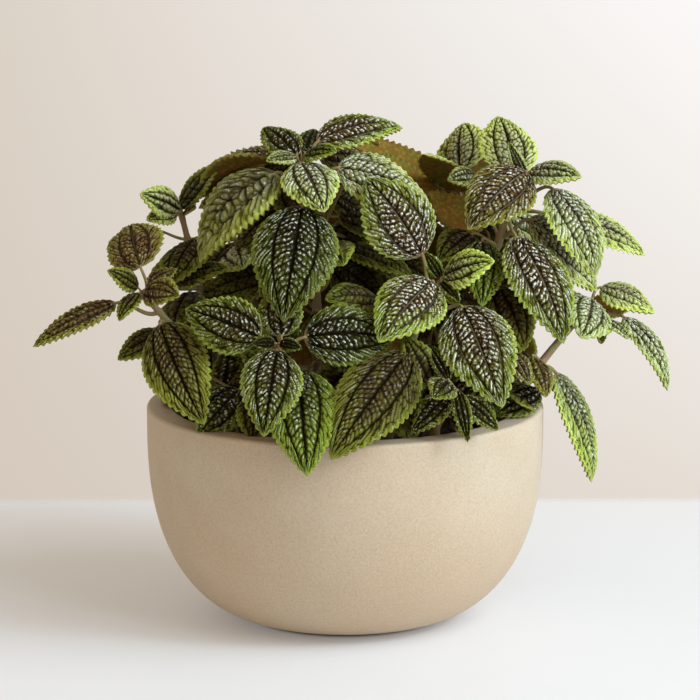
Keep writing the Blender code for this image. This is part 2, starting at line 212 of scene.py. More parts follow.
# The smaller leaves and those inside the plant.
SMALL_LEAVES = leaves_of({
    "crown_left": [
        (0.97, (-24, -14, 237), (-41, 8, 248), 19, "dark_rim"),
        (0.99, (-20, -12, 238), (-15, 8, 247), 13, "black_green"),
        (1.0, (-24, -18, 237), (-39, -26, 236), 11, "pale_silver"),
        (1.0, (-20, -18, 238), (-4, -28, 241), 14, "fresh"),
        (0.78, (-4, 5, 203), (25, 15, 194), 24, "shade"),
        (0.62, (4, 40, 234), (50, 58, 221), 26, "dull_olive", 180),
        (0.70, (14, 26, 226), (48, 40, 212), 30, "shade", 180),
        (0.35, (-12, -46, 158), (19, -50, 165), 26, "dark_rim"),
        (0.40, (17, -40, 169), (-10, -55, 172), 24, "shade"),
        (0.50, (0, -5, 190), (34, -22, 176), 24, "shade", 20),
        (0.80, (-40, 14, 222), (-74, 14, 206), 18, "rust"),
        (0.90, (-32, 26, 227), (-74, 28, 209), 25, "golden_olive", 180, -0.13),
        (0.62, (-30, 14, 208), (-56, 18, 182), 26, "shade"),
        (0.72, (-8, 14, 214), (14, 22, 196), 24, "shade"),
        (0.92, (-14, 22, 232), (14, 34, 226), 22, "golden_olive"),
        (0.90, (-21, 8, 229), (-43, 13, 225), 17, "shade"),
        (0.99, (-22, -10, 241), (-22, -13, 228), 10, "fresh"),
        (0.70, (15, 10, 185), (46, 10, 166), 25, "golden_olive"),
        (0.44, (-30, 8, 176), (-78, 16, 156), 30, "shade"),
        (0.30, (-14, -20, 160), (2, -38, 143), 30, "shade"),
        (0.48, (-6, 14, 178), (22, 18, 150), 34, "shade"),
    ],
    "back_crown_right": [
        (0.92, (60, 56, 216), (84, 58, 226), 24, "dull_olive"),
        (0.85, (42, 73, 219), (60, 77, 186), 34, "shade", 49),
        (0.80, (58, 62, 206), (36, 76, 196), 34, "shade"),
        (0.9, (59, 45, 220), (61, 68, 242), 32, "soft_green", 80),
    ],
    "crown_right": [
        (0.72, (78, 28, 204), (104, 34, 184), 24, "grey_green"),
        (1.0, (90, -6, 223), (81, -8, 243), 7, "pale_silver", 40),
        (0.98, (91, -8, 228), (117, -20, 227), 20, "pale_silver"),
        (0.7, (68, -18, 195), (67, -48, 167), 22, "fresh"),
        (0.9, (65, 5, 225), (51, 2, 222), 14, "pale_silver"),
        (0.5, (76, -28, 173), (88, -48, 145), 26, "golden_olive"),
        (0.3, (80, -50, 145), (90, -62, 131), 13, "bronze"),
        (0.7, (63, -10, 197), (46, -25, 186), 20, "shade"),
        (0.62, (70, 8, 196), (42, 16, 214), 26, "shade", 180),
    ],
    "front": [
        (0.80, (-37, -42, 166), (-26, -44, 143), 20, "shade"),
        (0.95, (-31, -72, 157), (-33, -52, 179), 22, "dark_rim"),
        (1.0, (-34, -78, 155), (-45, -80, 155), 8, "black_green"),
        (1.0, (-32, -78, 155), (-21, -82, 153), 7, "black_green"),
        (0.40, (-52, -58, 128), (-72, -69, 107), 24, "dark_rim"),
        (0.35, (-44, -66, 127), (-45, -80, 106), 17, "shade"),
    ],
    "centre": [
        (0.97, (48, -42, 181), (73, -54, 191), 21, "bright_lime"),
        (1.0, (47, -40, 180), (39, -34, 192), 8, "fresh"),
        (1.0, (47, -44, 179), (56, -57, 171), 7, "dark_rim"),
    ],
    "left": [
        (1.0, (-102, -34, 174), (-117, -40, 184), 12, "soft_olive"),
        (1.0, (-98, -34, 174), (-83, -30, 183), 12, "rust"),
        (0.98, (-99, -36, 173), (-81, -52, 173), 17, "rust"),
        (0.98, (-102, -36, 172), (-111, -48, 160), 11, "soft_olive"),
        (0.70, (-88, -20, 149), (-113, -30, 137), 19, "golden_olive"),
    ],
    "left_upper": [
        (0.97, (-83, 20, 205), (-62, 12, 230), 12, "dull_olive", -45),
        (0.97, (-83, 18, 204), (-103, 5, 215), 17, "soft_green", 60),
        (1.0, (-85, 14, 203), (-100, 8, 201), 14, "soft_green", 20),
        (1.0, (-82, 16, 203), (-75, 12, 207), 8, "bronze"),
        (0.85, (-98, 15, 195), (-121, 20, 184), 26, "dull_olive"),
        (0.60, (-85, -4, 171), (-58, -12, 180), 22, "shade"),
        (0.40, (-92, 0, 146), (-78, 4, 153), 14, "golden_olive"),
    ],
    "right": [
        (0.97, (129, 12, 166), (156, 5, 154), 26, "soft_green"),
        (0.97, (125, 18, 157), (144, 24, 152), 14, "fresh_frost", 170),
        (1.0, (132, -2, 152), (142, -12, 144), 12, "bright_silver"),
        (0.5, (93, -28, 138), (99, -45, 121), 17, "rust"),
        (0.97, (124, 2, 162), (117, -26, 147), 28, "bright_silver"),
        (1.0, (130, 15, 144), (130, 15, 136), 8, "dull_olive"),
        (0.40, (77, -24, 117), (97, -14, 115), 20, "dark_rim"),
        (0.32, (97, -28, 121), (74, -38, 110), 18, "dark_rim"),
    ],
    "front_right": [
        (1.0, (50, -88, 138), (42, -104, 133), 15, "dark_rim"),
        (1.0, (51, -84, 132), (32, -86, 112), 14, "dark_rim"),
        (1.0, (54, -88, 134), (59, -98, 110), 9, "dark_rim"),
        (1.0, (56, -86, 130), (74, -84, 113), 12, "dark_rim"),
        (1.0, (50, -80, 137), (40, -62, 151), 9, "dark_rim"),
    ],
})

# The pairs of leaves of a shoot that grows by rule, from its outer pair in: how far up the stem it
# grows, blade and petiole length, the angle that it leans out by, and how far it hangs.
Pair = namedtuple("Pair", "along blade reach lean hang")
PAIRS = (Pair(0.76, 54, 15, 88, 0.7), Pair(0.90, 42, 10, 75, 0.35), Pair(0.97, 26, 4, 55, 0.05))
RULED_RATIO = 0.64              # width over length of a leaf that grows by rule

# How far up the stem of each shoot the pairs of small leaves inside the plant grow.
INNER_JOINTS = {
    "crown_left": (0.26, 0.42, 0.58, 0.72), "centre": (0.25, 0.40), "front": (0.25, 0.45),
    "crown_right": (0.24, 0.38, 0.50, 0.62), "left": (0.22, 0.40), "left_upper": (0.26, 0.44, 0.62),
    "right": (0.15, 0.30), "back_crown": (0.26, 0.44, 0.60), "back_crown_right": (0.26, 0.44, 0.60),
    "back_left": (0.28, 0.48), "back_right": (0.28, 0.48), "back_low": (0.30, 0.50),
    "back_low_right": (0.30, 0.52), "back_low_left": (0.30, 0.52), "side_left": (0.35, 0.60),
    "side_right": (0.35, 0.60), "front_right": (0.35, 0.60),
}
INNER_LOOKS = ("shade", "golden_olive", "shade", "dark_rim", "shade")
INNER_LIMITS = ((-86, -76, 118), (86, 100, 250))  # lowest and highest place of an inner leaf's tip
RULED_LOOKS = ("black_green", "bronze_lime", "golden_olive", "dark_rim", "grey_green", "fresh")


def place(millimetres):
    """Whole millimetres of the plant as a point of the frame."""
    return FOOT + np.array(millimetres, float) * MM


def unit(vector):
    """A vector, or each of several, over its own length."""
    return vector / np.linalg.norm(vector, axis=-1, keepdims=True)


def ease(low, high, value):
    """A smooth step: 0 below low, 1 above high, and three t squared less two t cubed between."""
    t = np.clip((value - low) / (high - low), 0, 1)
    return t * t * (3 - 2 * t)


def draw_for(name):
    """A random stream that depends on a piece's name alone."""
    return np.random.default_rng(zlib.crc32(name.encode()))


def stem_point(shoot, along):
    """A point on a stem: the quadratic curve from its foot past its knee to its tip."""
    spec = SHOOTS[shoot]
    foot, knee, tip = place((*spec.root, STEM_FOOT)), place(spec.knee), place(spec.tip)
    t = np.asarray(along, float)[..., None]
    return (1 - t) ** 2 * foot + 2 * t * (1 - t) * knee + t ** 2 * tip


def stem_heading(shoot, along):
    """The way a stem grows at a point, from a hundredth of its curve below to one above."""
    return unit(stem_point(shoot, along + 0.01) - stem_point(shoot, along - 0.01))


def grown_leaf(shoot, along, angle, lean, reach, blade_length, hang, look):
    """A leaf whose stalk leans out from the way its shoot faces, at an angle round it, and hangs."""
    axis = unit(np.array(SHOOTS[shoot].faces, float))
    side = unit(np.array(Vector(axis).orthogonal()))
    other = np.cross(axis, side)
    lean = math.radians(lean)
    out = math.cos(lean) * axis + math.sin(lean) * (math.cos(angle) * side + math.sin(angle) * other)
    start = (stem_point(shoot, along) - FOOT) / MM + out * reach
    fall = unit(out - np.array((0, 0, hang)))
    return Leaf(shoot, along, start, start + fall * blade_length, blade_length * RULED_RATIO, look)


def ruled_leaves(shoot):
    """The pairs of leaves of a shoot that grows by rule, each pair a quarter turn from the last."""
    draw = draw_for("ruled " + shoot)
    leaves = []
    for k, pair in enumerate(PAIRS):
        for turn in (0, 180):
            angle = math.radians(SHOOTS[shoot].twist + 90 * k + turn)
            look = RULED_LOOKS[draw.integers(len(RULED_LOOKS))]
            leaves.append(grown_leaf(shoot, pair.along, angle, pair.lean, pair.reach, pair.blade,
                                     pair.hang, look))
    return leaves


def inner_leaves(shoot):
    """The pairs of small leaves inside the plant, turned at random and kept within its limits."""
    draw = draw_for("inner " + shoot)
    leaves = []
    for k, along in enumerate(INNER_JOINTS[shoot]):
        angle = math.radians(draw.uniform(60, 120) * (k % 2) + draw.uniform(-20, 20))
        for turn in (0, math.pi):
            look = INNER_LOOKS[draw.integers(len(INNER_LOOKS))]
            size, lean, hang = draw.uniform(26, 38), draw.uniform(60, 90), draw.uniform(-0.1, 0.35)
            leaf = grown_leaf(shoot, along, angle + turn, lean, draw.uniform(7, 14), size, hang, look)
            leaves.append(leaf._replace(start=np.clip(leaf.start, *INNER_LIMITS),
                                        tip=np.clip(leaf.tip, *INNER_LIMITS)))
    return leaves


# Surfaces

# A surface in arrays: its points, its faces as groups with a fixed number of corners, and the same
# faces numbered through the spots of its flat map.
Surface = namedtuple("Surface", "points faces spots spot_faces")


def quads(index):
    """Quads between the neighbours of a table of point numbers, facing its column x row way."""
    around = (index[:-1, :-1], index[:-1, 1:], index[1:, 1:], index[1:, :-1])
    return np.stack(around, axis=-1).reshape(-1, 4)


def fan(centre, ring):
    """Triangles from one point to each pair of neighbours in a row of point numbers."""
    return np.stack((np.full(len(ring) - 1, centre), ring[:-1], ring[1:]), axis=1)


def flipped(faces):
    """The same faces with their corners in the other order, so that they face the other way."""
    return faces[:, ::-1]


def numbers(rows, columns, first=0):
    """A table that counts on from its first number, row by row."""
    return first + np.arange(rows * columns).reshape(rows, columns)


def capped(table, first, last):
    """Faces of a table of point numbers, closed by one point before its rows and one after them."""
    return [quads(table), flipped(fan(first, table[0])), fan(last, table[-1])]


def ring_faces(rings, sides):
    """Faces through the points of rings and of both ends, and the same through the flat map.

    On the map a ring has one spot more than it has points, because it is cut open at its first.
    """
    closed = numbers(rings, sides)
    tables = (np.concatenate((closed, closed[:, :1]), axis=1), numbers(rings, sides + 1))
    return [capped(table, table.max() + 1, table.max() + 2) for table in tables]


def ring_spots(along, around, ends):
    """Spots of the flat map, ring by ring, and then those of both ends."""
    spots = np.stack(np.meshgrid(along, around, indexing="ij"), axis=-1)
    return np.concatenate((spots.reshape(-1, 2), ends))


def joined(surfaces):
    """One surface made of several, with their points and spots numbered on."""
    faces, spot_faces, point_count, spot_count = [], [], 0, 0
    for part in surfaces:
        faces += [group + point_count for group in part.faces]
        spot_faces += [group + spot_count for group in part.spot_faces]
        point_count += len(part.points)
        spot_count += len(part.spots)
    points = np.concatenate([part.points for part in surfaces])
    spots = np.concatenate([part.spots for part in surfaces])
    return Surface(points, faces, spots, spot_faces)


def make_piece(name, surface, finish, attributes=None, stands_for=()):
    """One object of the plant from a surface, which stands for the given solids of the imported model.

    Attributes are arrays of a number for each point, or one number for all of them.
    """
    mesh = bpy.data.meshes.new(name)
    mesh.vertices.add(len(surface.points))
    mesh.vertices.foreach_set("co", np.asarray(surface.points, np.float32).ravel())
    corners = np.concatenate([group.ravel() for group in surface.faces])
    sizes = np.concatenate([np.full(len(group), group.shape[1]) for group in surface.faces])
    mesh.loops.add(len(corners))
    mesh.loops.foreach_set("vertex_index", corners.astype(np.int32))
    mesh.polygons.add(len(sizes))
    mesh.polygons.foreach_set("loop_start", (np.cumsum(sizes) - sizes).astype(np.int32))
    spots = surface.spots[np.concatenate([group.ravel() for group in surface.spot_faces])]
    mesh.uv_layers.new(name=MAP_NAME).data.foreach_set("uv", spots.astype(np.float32).ravel())
    mesh.update(calc_edges=True)
    for label, values in (attributes or {}).items():
        values = np.ascontiguousarray(np.broadcast_to(np.float32(values), len(surface.points)))
        mesh.attributes.new(label, "FLOAT", "POINT").data.foreach_set("value", values)
    mesh.shade_smooth()
    mesh.materials.append(finish)
    piece = bpy.data.objects.new(name, mesh)
    bpy.context.scene.collection.objects.link(piece)
    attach(piece, "root")
    for node in stands_for:
        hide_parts(node)
    return piece


def tube(path, radii, sides, band):
    """A round rod along a path, closed by a fan at each end, with its map in a band of rows.

    A ring is the path's point plus the cosine and sine of the turn times the radius, along two
    directions square to the path that are kept from turning by one fixed direction.
    """
    rings = len(path)
    heading = unit(np.gradient(path, axis=0))
    axes = np.eye(3)
    fixed = axes[np.abs(heading @ axes).max(axis=0).argmin()]
    side = unit(np.cross(heading, fixed))
    other = np.cross(heading, side)
    turn = np.linspace(0, 2 * math.pi, sides, endpoint=False)[None, :, None]
    ring = np.cos(turn) * side[:, None] + np.sin(turn) * other[:, None]
    points = path[:, None] + ring * np.broadcast_to(radii, rings)[:, None, None]
    points = np.concatenate((points.reshape(-1, 3), path[:1], path[-1:]))
    middle = (band[0] + band[1]) / 2
    spots = ring_spots(np.linspace(0.02, 0.98, rings), np.linspace(*band, sides + 1),
                       ((0.01, middle), (0.99, middle)))
    faces, spot_faces = ring_faces(rings, sides)
    return Surface(points, faces, spots, spot_faces)


def half_width(u):
    """Half-width of an ovate blade over its greatest: a skewed arch drawn out to a point at its end."""
    s = u ** 0.78
    return 1.04 * (4 * s * (1 - s)) ** 0.8 * (1 - 0.42 * u ** 4)


def quilt(u, v, rows, columns, draw):
    """Height of the puckers from 0 to 1 at u along a blade and v across it, from -1 to 1.

    Rows of puckers run out from the midrib and lean towards the tip, more so beyond the side veins.
    The puckers are nearly as wide all along the blade, and wider beyond the side veins. Those of a
    row are set out like bricks over the next row's, and the middle of each is moved at random. Where
    the nearest middle is a away and the next nearest b, the height is a smooth step of b less a,
    times the pucker's own height, times one less a dip between the rows that is deep after every
    second row, times a dome from one deep dip to the next.

    The second result is 1 along the crest of a tall pucker, a short bent line along the row, and 0
    away from it. The third is 1 in the deep dips, where the veins that cross the blade run.
    """
    away = np.abs(v)
    lean = 0.18 * away + 0.30 * np.maximum(away - SIDE_VEIN, 0)
    wave = draw.uniform(0, 2 * math.pi, 4)
    wobble = 0.12 * np.sin(9 * away + 23 * u + wave[0]) + 0.08 * np.sin(21 * away - 31 * u + wave[1])
    phase = rows * (1 + u - lean) + wobble + np.where(v < 0, 0.45, 0)
    shift = 0.5 * (np.arange(LUMP_ROWS) % 2) + draw.uniform(-0.2, 0.2, LUMP_ROWS)
    spread = away - 0.45 * np.maximum(away - SIDE_VEIN, 0)
    column = columns * spread * half_width(u) ** 0.75 + 0.2 * np.sin(37 * u + wave[2])
    table = (2, LUMP_ROWS, LUMP_COLUMNS)
    ahead, aside = draw.uniform(-0.16, 0.16, table), draw.uniform(-0.28, 0.28, table)
    tall, bends = draw.uniform(0.55, 1, table), draw.uniform(-1.6, 1.6, table)
    side = (v < 0).astype(int)
    nearest, second = np.full(u.shape, 9.0), np.full(u.shape, 9.0)
    height, crest = np.zeros(u.shape), np.zeros(u.shape)
    for row_step in (-1, 0, 1):
        row = np.floor(phase).astype(int) + row_step
        row_shift = shift[row % LUMP_ROWS]
        for column_step in (-1, 0, 1):
            place_in_row = np.floor(column + row_shift).astype(int) + column_step
            pick = (side, row % LUMP_ROWS, place_in_row % LUMP_COLUMNS)
            forward = phase - row - 0.5 - ahead[pick]
            outward = column + row_shift - place_in_row - 0.5 - aside[pick]
            gap = np.hypot(1.15 * forward, outward)
            bend = bends[pick]
            line = np.hypot(2.3 * (forward - 0.1 + bend * (outward ** 2 - 0.05)), 0.95 * outward)
            closer = gap < nearest
            crest = np.where(closer, line, crest)
            second = np.where(closer, nearest, np.minimum(second, gap))
            height = np.where(closer, tall[pick], height)
            nearest = np.where(closer, gap, nearest)
    cross = np.exp(-(np.sin(math.pi * phase / 2) / 0.2) ** 2)
    dip = np.maximum(0.35 * np.exp(-(np.sin(math.pi * phase) / 0.3) ** 2), 0.95 * cross)
    dome = 0.6 + 0.4 * np.sin(math.pi * phase / 2) ** 2
    relief = ease(0, 0.6, second - nearest) * height * (1 - dip) * dome
    return relief, ease(0.62, 0.15, crest) * ease(0.4, 0.7, height), cross


def blade_axes(leaf):
    """A blade's start, tip and length, and the ways along it, across it and above it, not rolled."""
    start, tip = place(leaf.start), place(leaf.tip)
    forward = unit(tip - start)
    across = unit(np.cross(forward, SHOOTS[leaf.shoot].faces))
    return start, tip, np.linalg.norm(tip - start), forward, across, np.cross(across, forward)


def grown(least, length, sizes):
    """How large a leaf's details are, from least on a tiny leaf up to 1 on a grown one."""
    return least + (1 - least) * min(1, length / sizes.grown_length)


def blade_spots(u, v, band):
    """Spots of one sheet of a blade: its outline, laid round the middle of its band of the flat map."""
    middle, half_height = band
    up = middle + half_height * (half_width(u) * v)
    return np.stack((0.01 + 0.98 * u, up), axis=-1).reshape(-1, 2)


def two_sheets(u, v, inner):
    """Faces, spots and spot faces of two sheets that meet at their first and last column and both ends.

    The upper sheet has every column, and the lower one has the inner ones between those two.
    """
    low_v = np.concatenate((v[:, :1], v[:, inner], v[:, -1:]), axis=1)
    low_u = u[:, :low_v.shape[1]]
    upper = numbers(*u.shape)
    below = numbers(len(u), low_v.shape[1] - 2, upper.size)
    lower = np.concatenate((upper[:, :1], below, upper[:, -1:]), axis=1)
    end = upper.size + below.size
    faces = capped(upper, end, end + 1) + [flipped(group) for group in capped(lower, end, end + 1)]
    ends = [(along, band[0]) for band in (UPPER_BAND, LOWER_BAND) for along in (0.002, 0.998)]
    spots = np.concatenate((blade_spots(u, v, UPPER_BAND), blade_spots(low_u, low_v, LOWER_BAND), ends))
    last = u.size + low_v.size
    low_faces = capped(numbers(*low_v.shape, u.size), last + 2, last + 3)
    spot_faces = capped(upper, last, last + 1) + [flipped(group) for group in low_faces]
    return faces, spots, spot_faces


def blade(leaf, name, sizes, fineness):
    """A leaf's blade as an upper and a lower sheet that meet at the margin, with its attributes.

    The middle runs from start to tip and arches by the bow. Across it, a point lies at v times the
    half-width, which the teeth of the margin lengthen and shorten. Its height is the quilt's and a
    swell between the main veins, less the three sunken veins, less a fall of v squared and of the
    fold towards the edges, and the margin rises and falls with each tooth. The whole sweeps aside
    and twists a little, at random. The lower sheet has only the veins, and few columns. A ridged
    leaf has fewer, wider and taller puckers.
    """
    draw = draw_for(name)
    start, tip, length, forward, across, above = blade_axes(leaf)
    width, ridged, roll = leaf.width * MM, LOOKS[leaf.look].ridged, math.radians(leaf.roll)
    across, above = (math.cos(roll) * across + math.sin(roll) * above,
                     math.cos(roll) * above - math.sin(roll) * across)
    plain_rows = sizes.fewest_rows + length * sizes.rows_per_metre
    rows = round(plain_rows * (1 - 0.3 * ridged))
    columns = max(3, round(width / 2 / sizes.pucker * (1 - 0.65 * ridged)))
    teeth = sizes.teeth_per_row * plain_rows
    deep = sizes.relief * grown(0.35, length, sizes) * (1 + 0.7 * ridged)
    reach = sizes.tooth * grown(0.4, length, sizes)
    sweep, spin = draw.uniform(-0.05, 0.05) * length, draw.uniform(-0.25, 0.25)
    lump_draw = draw.integers(1 << 30)

    def sheet(u, v, lower):
        """Points of a sheet, its puckers' height, how near a main vein is, the crests, the dips."""
        away = np.abs(v)
        from_vein = np.minimum(away, np.abs(away - SIDE_VEIN) / 0.8) * width / 2
        veins = np.exp(-(from_vein / sizes.vein) ** 2)
        relief, peak, cross = quilt(u, v, rows, columns, np.random.default_rng(lump_draw))
        relief = relief * (1 - veins) * (1 - 0.65 * ease(0.86, 1, away))
        swell = np.abs(np.sin(math.pi * away / SIDE_VEIN)) * np.where(away < SIDE_VEIN, 0.6, 0.4)
        ends = ease(0, 0.06, u) * (1 - ease(0.9, 1, u))
        tooth_phase = teeth * u
        tooth = np.sin(math.pi * (tooth_phase % 1) ** 1.4) ** 0.6 * ends
        half = half_width(u) * width / 2
        sideways = v * half + np.sign(v) * reach * (tooth - 0.6 * ends) * ease(0.75, 1, away)
        ahead = u * length + 0.5 * reach * tooth * ease(0.8, 1, away)
        rise = ends * deep * ((-0.9 - 0.4 * veins) if lower else (relief + swell - 0.9 * veins))
        rise = rise - sizes.camber * 2 * half * v ** 2 - leaf.fold * half * away
        rise = rise + 0.35 * reach * np.sin(2 * math.pi * tooth_phase) * ease(0.7, 1, away) * ends
        rise = rise - (sizes.thickness if lower else 0)
        turn = spin * (u - 0.5)
        beside = np.cos(turn) * sideways - np.sin(turn) * rise + u * (1 - u) * sweep
        lifted = np.sin(turn) * sideways + np.cos(turn) * rise + u * (1 - u) * 4 * leaf.bow * length
        points = start + sum(part[..., None] * way for part, way in
                             ((ahead, forward), (beside, across), (lifted, above)))
        return points, relief, veins, peak * (1 - veins), cross

    n = round(plain_rows * sizes.steps_per_row * fineness)
    m = 2 * round(max(columns, width / 2 / sizes.pucker) * sizes.steps_per_pucker * fineness)
    step = max(1, m // LOWER_COLUMNS)
    u, v = np.meshgrid(np.linspace(0, 1, n + 2)[1:-1], np.linspace(-1, 1, m + 1), indexing="ij")
    inner = slice(m // 2 % step or step, m, step)
    top, relief, veins, peak, cross = sheet(u, v, False)
    low, _, low_veins, _, low_cross = sheet(u[:, inner], v[:, inner], True)
    points = np.concatenate((top.reshape(-1, 3), low.reshape(-1, 3), start[None], tip[None]))

    def values(on_top, on_low, on_ends):
        """A number for each point: of the upper sheet, of the lower one's inside, of the two ends."""
        on_top, on_low = np.broadcast_to(on_top, u.shape), np.broadcast_to(on_low, low.shape[:2])
        return np.concatenate((on_top.ravel(), on_low.ravel(), on_ends))

    outer = np.clip(0.7 * np.abs(v) ** 1.5 + 0.85 * u ** 1.6 - 0.05, 0, 1)
    rim = np.maximum(ease(0.85, 1, np.abs(v)), ease(0.93, 1, u))
    masks = {
        "relief": values(relief, 0.5, (0.4, 0.4)),
        "peak": values(peak, 0, (0, 0)),
        "outer": values(outer, 0.5, (0, 1)),
        "rim": values(rim, 0, (0, 1)),
        "vein": values(veins, low_veins, (1, 0.5)),
        "cross": values(cross, low_cross, (1, 0.5)),
        "under": values(0.5 * (np.abs(v) == 1), 1, (0.5, 0.5)),
        "stalk": values(1 - ease(0, 0.05, u), 1 - ease(0, 0.08, u[:, inner]), (1, 0)),
    }
    return Surface(points, *two_sheets(u, v, inner)), masks


def petiole(leaf, sizes):
    """A leaf's stalk: a cubic curve that leaves the stem nearly square to it and ends in the blade.

    Its four handles are both ends, one further out from the stem, and one back from the blade along
    it. It narrows evenly from the stem to the blade.
    """
    start, _, length, forward, _, above = blade_axes(leaf)
    root, growth = stem_point(leaf.shoot, leaf.along), stem_heading(leaf.shoot, leaf.along)
    outward = start - root
    outward = unit(unit(outward - (outward @ growth) * growth) + 0.3 * growth)
    entry = unit(forward + 4 * leaf.bow * above * math.cos(math.radians(leaf.roll)))
    inside = start + 0.03 * length * entry
    reach = np.linalg.norm(inside - root) * sizes.petiole_ease
    handles = (root, root + outward * reach, inside - entry * reach, inside)
    t = np.linspace(0, 1, PETIOLE_RINGS)[:, None]
    path = sum(math.comb(3, k) * (1 - t) ** (3 - k) * t ** k * handles[k] for k in range(4))
    radii = np.linspace(1.2, 0.75, PETIOLE_RINGS) * (sizes.petiole * grown(0.35, length, sizes))
    return tube(path, radii, PETIOLE_SIDES, STALK_BAND)


def whole_leaf(leaf, name, sizes, fineness):
    """A leaf's blade and stalk as one surface, with the attributes that colour it."""
    surface, masks = blade(leaf, name, sizes, fineness)
    stalk = petiole(leaf, sizes)
    masks = {label: np.concatenate((values, np.full(len(stalk.points), STALK_MASKS.get(label, 0.0))))
             for label, values in masks.items()}
    return joined((surface, stalk)), {**masks, **LOOKS[leaf.look]._asdict()}


# Finishes


class Signal:
    """A number or colour on its way through a tree of nodes. Arithmetic on it adds Math nodes."""

    def __init__(self, nodes, socket):
        self.nodes = nodes
        self.socket = socket

    def math(self, operation, *values):
        return self.nodes.node("ShaderNodeMath", {"operation": operation}, dict(enumerate(values)))

    def __add__(self, other):
        return self.math("ADD", self, other)

    def __sub__(self, other):
        return self.math("SUBTRACT", self, other)

    def __rsub__(self, other):
        return self.math("SUBTRACT", other, self)

    def __mul__(self, other):
        return self.math("MULTIPLY", self, other)

    def __pow__(self, other):
        return self.math("POWER", self, other)

    __radd__ = __add__
    __rmul__ = __mul__

    def between(self, low, high):
        """0 below low, 1 above high, and a straight line between."""
        values = {"Value": self, "From Min": low, "From Max": high, "To Min": 0, "To Max": 1}
        return self.nodes.node("ShaderNodeMapRange", {"clamp": True}, values)


class Nodes:
    """A tree of shader nodes, and the ways to add to it."""

    def __init__(self, tree):
        self.tree = tree

    def node(self, kind, settings=None, values=None, result=0):
        """Adds a node, sets its settings, feeds its sockets with values or signals, gives a result."""
        made = self.tree.nodes.new(kind)
        for label, value in (settings or {}).items():
            setattr(made, label, value)
        for label, value in (values or {}).items():
            self.feed(made.inputs[label], value)
        return Signal(self, made.outputs[result])

    def feed(self, socket, value):
        """Links a signal to a socket, or sets the socket to a number, a vector or a colour."""
        if isinstance(value, Signal):
            self.tree.links.new(value.socket, socket)
        elif isinstance(value, (int, float)) or socket.type == "VECTOR":
            socket.default_value = value
        else:
            socket.default_value = (*value[:3], 1)

    def mix(self, share, first, second, blend="MIX"):
        """Colour that goes from the first to the second as the share goes from 0 to 1."""
        settings = {"data_type": "RGBA", "blend_type": blend}
        return self.node("ShaderNodeMix", settings, {0: share, 6: first, 7: second}, 2)

    def attribute(self, label):
        """One of the numbers that make_piece gives each point."""
        return self.node("ShaderNodeAttribute", {"attribute_name": label}, None, "Fac")

    def place(self):
        """The point itself, in metres of the frame."""
        return self.node("ShaderNodeTexCoord", None, None, "Object")

    def noise(self, grain, detail=2.0, roughness=0.5):
        """Smooth noise from 0 to 1, whose grain is the size of its lumps in metres."""
        values = {"Vector": self.place(), "Scale": 1 / grain, "Detail": detail, "Roughness": roughness}
        return self.node("ShaderNodeTexNoise", None, values, 0)

    def cells(self, grain):
        """Distance to the nearest of scattered points, over the grain that sets them apart."""
        values = {"Vector": self.place(), "Scale": 1 / grain}
        return self.node("ShaderNodeTexVoronoi", None, values, "Distance")


class Finish(Nodes):
    """A procedural material: a Principled shader and the nodes that feed it."""

    def __init__(self, name, **constants):
        self.material = bpy.data.materials.new(name)
        self.material.use_nodes = True
        super().__init__(self.material.node_tree)
        self.shader = self.tree.nodes["Principled BSDF"]
        for label, value in constants.items():
            self.shader.inputs[label.replace("_", " ")].default_value = value

    def bump(self, height, depth, strength=1.0):
        """Gives the shader a normal bent by a height from 0 to 1 that stands for a depth in metres."""
        values = {"Height": height, "Distance": depth, "Strength": strength}
        self.feed(self.shader.inputs["Normal"], self.node("ShaderNodeBump", None, values))

    def shows(self, **signals):
        """Feeds the shader's sockets, named with underscores for spaces, and gives the material."""
        for label, value in signals.items():
            self.feed(self.shader.inputs[label.replace("_", " ")], value)
        return self.material


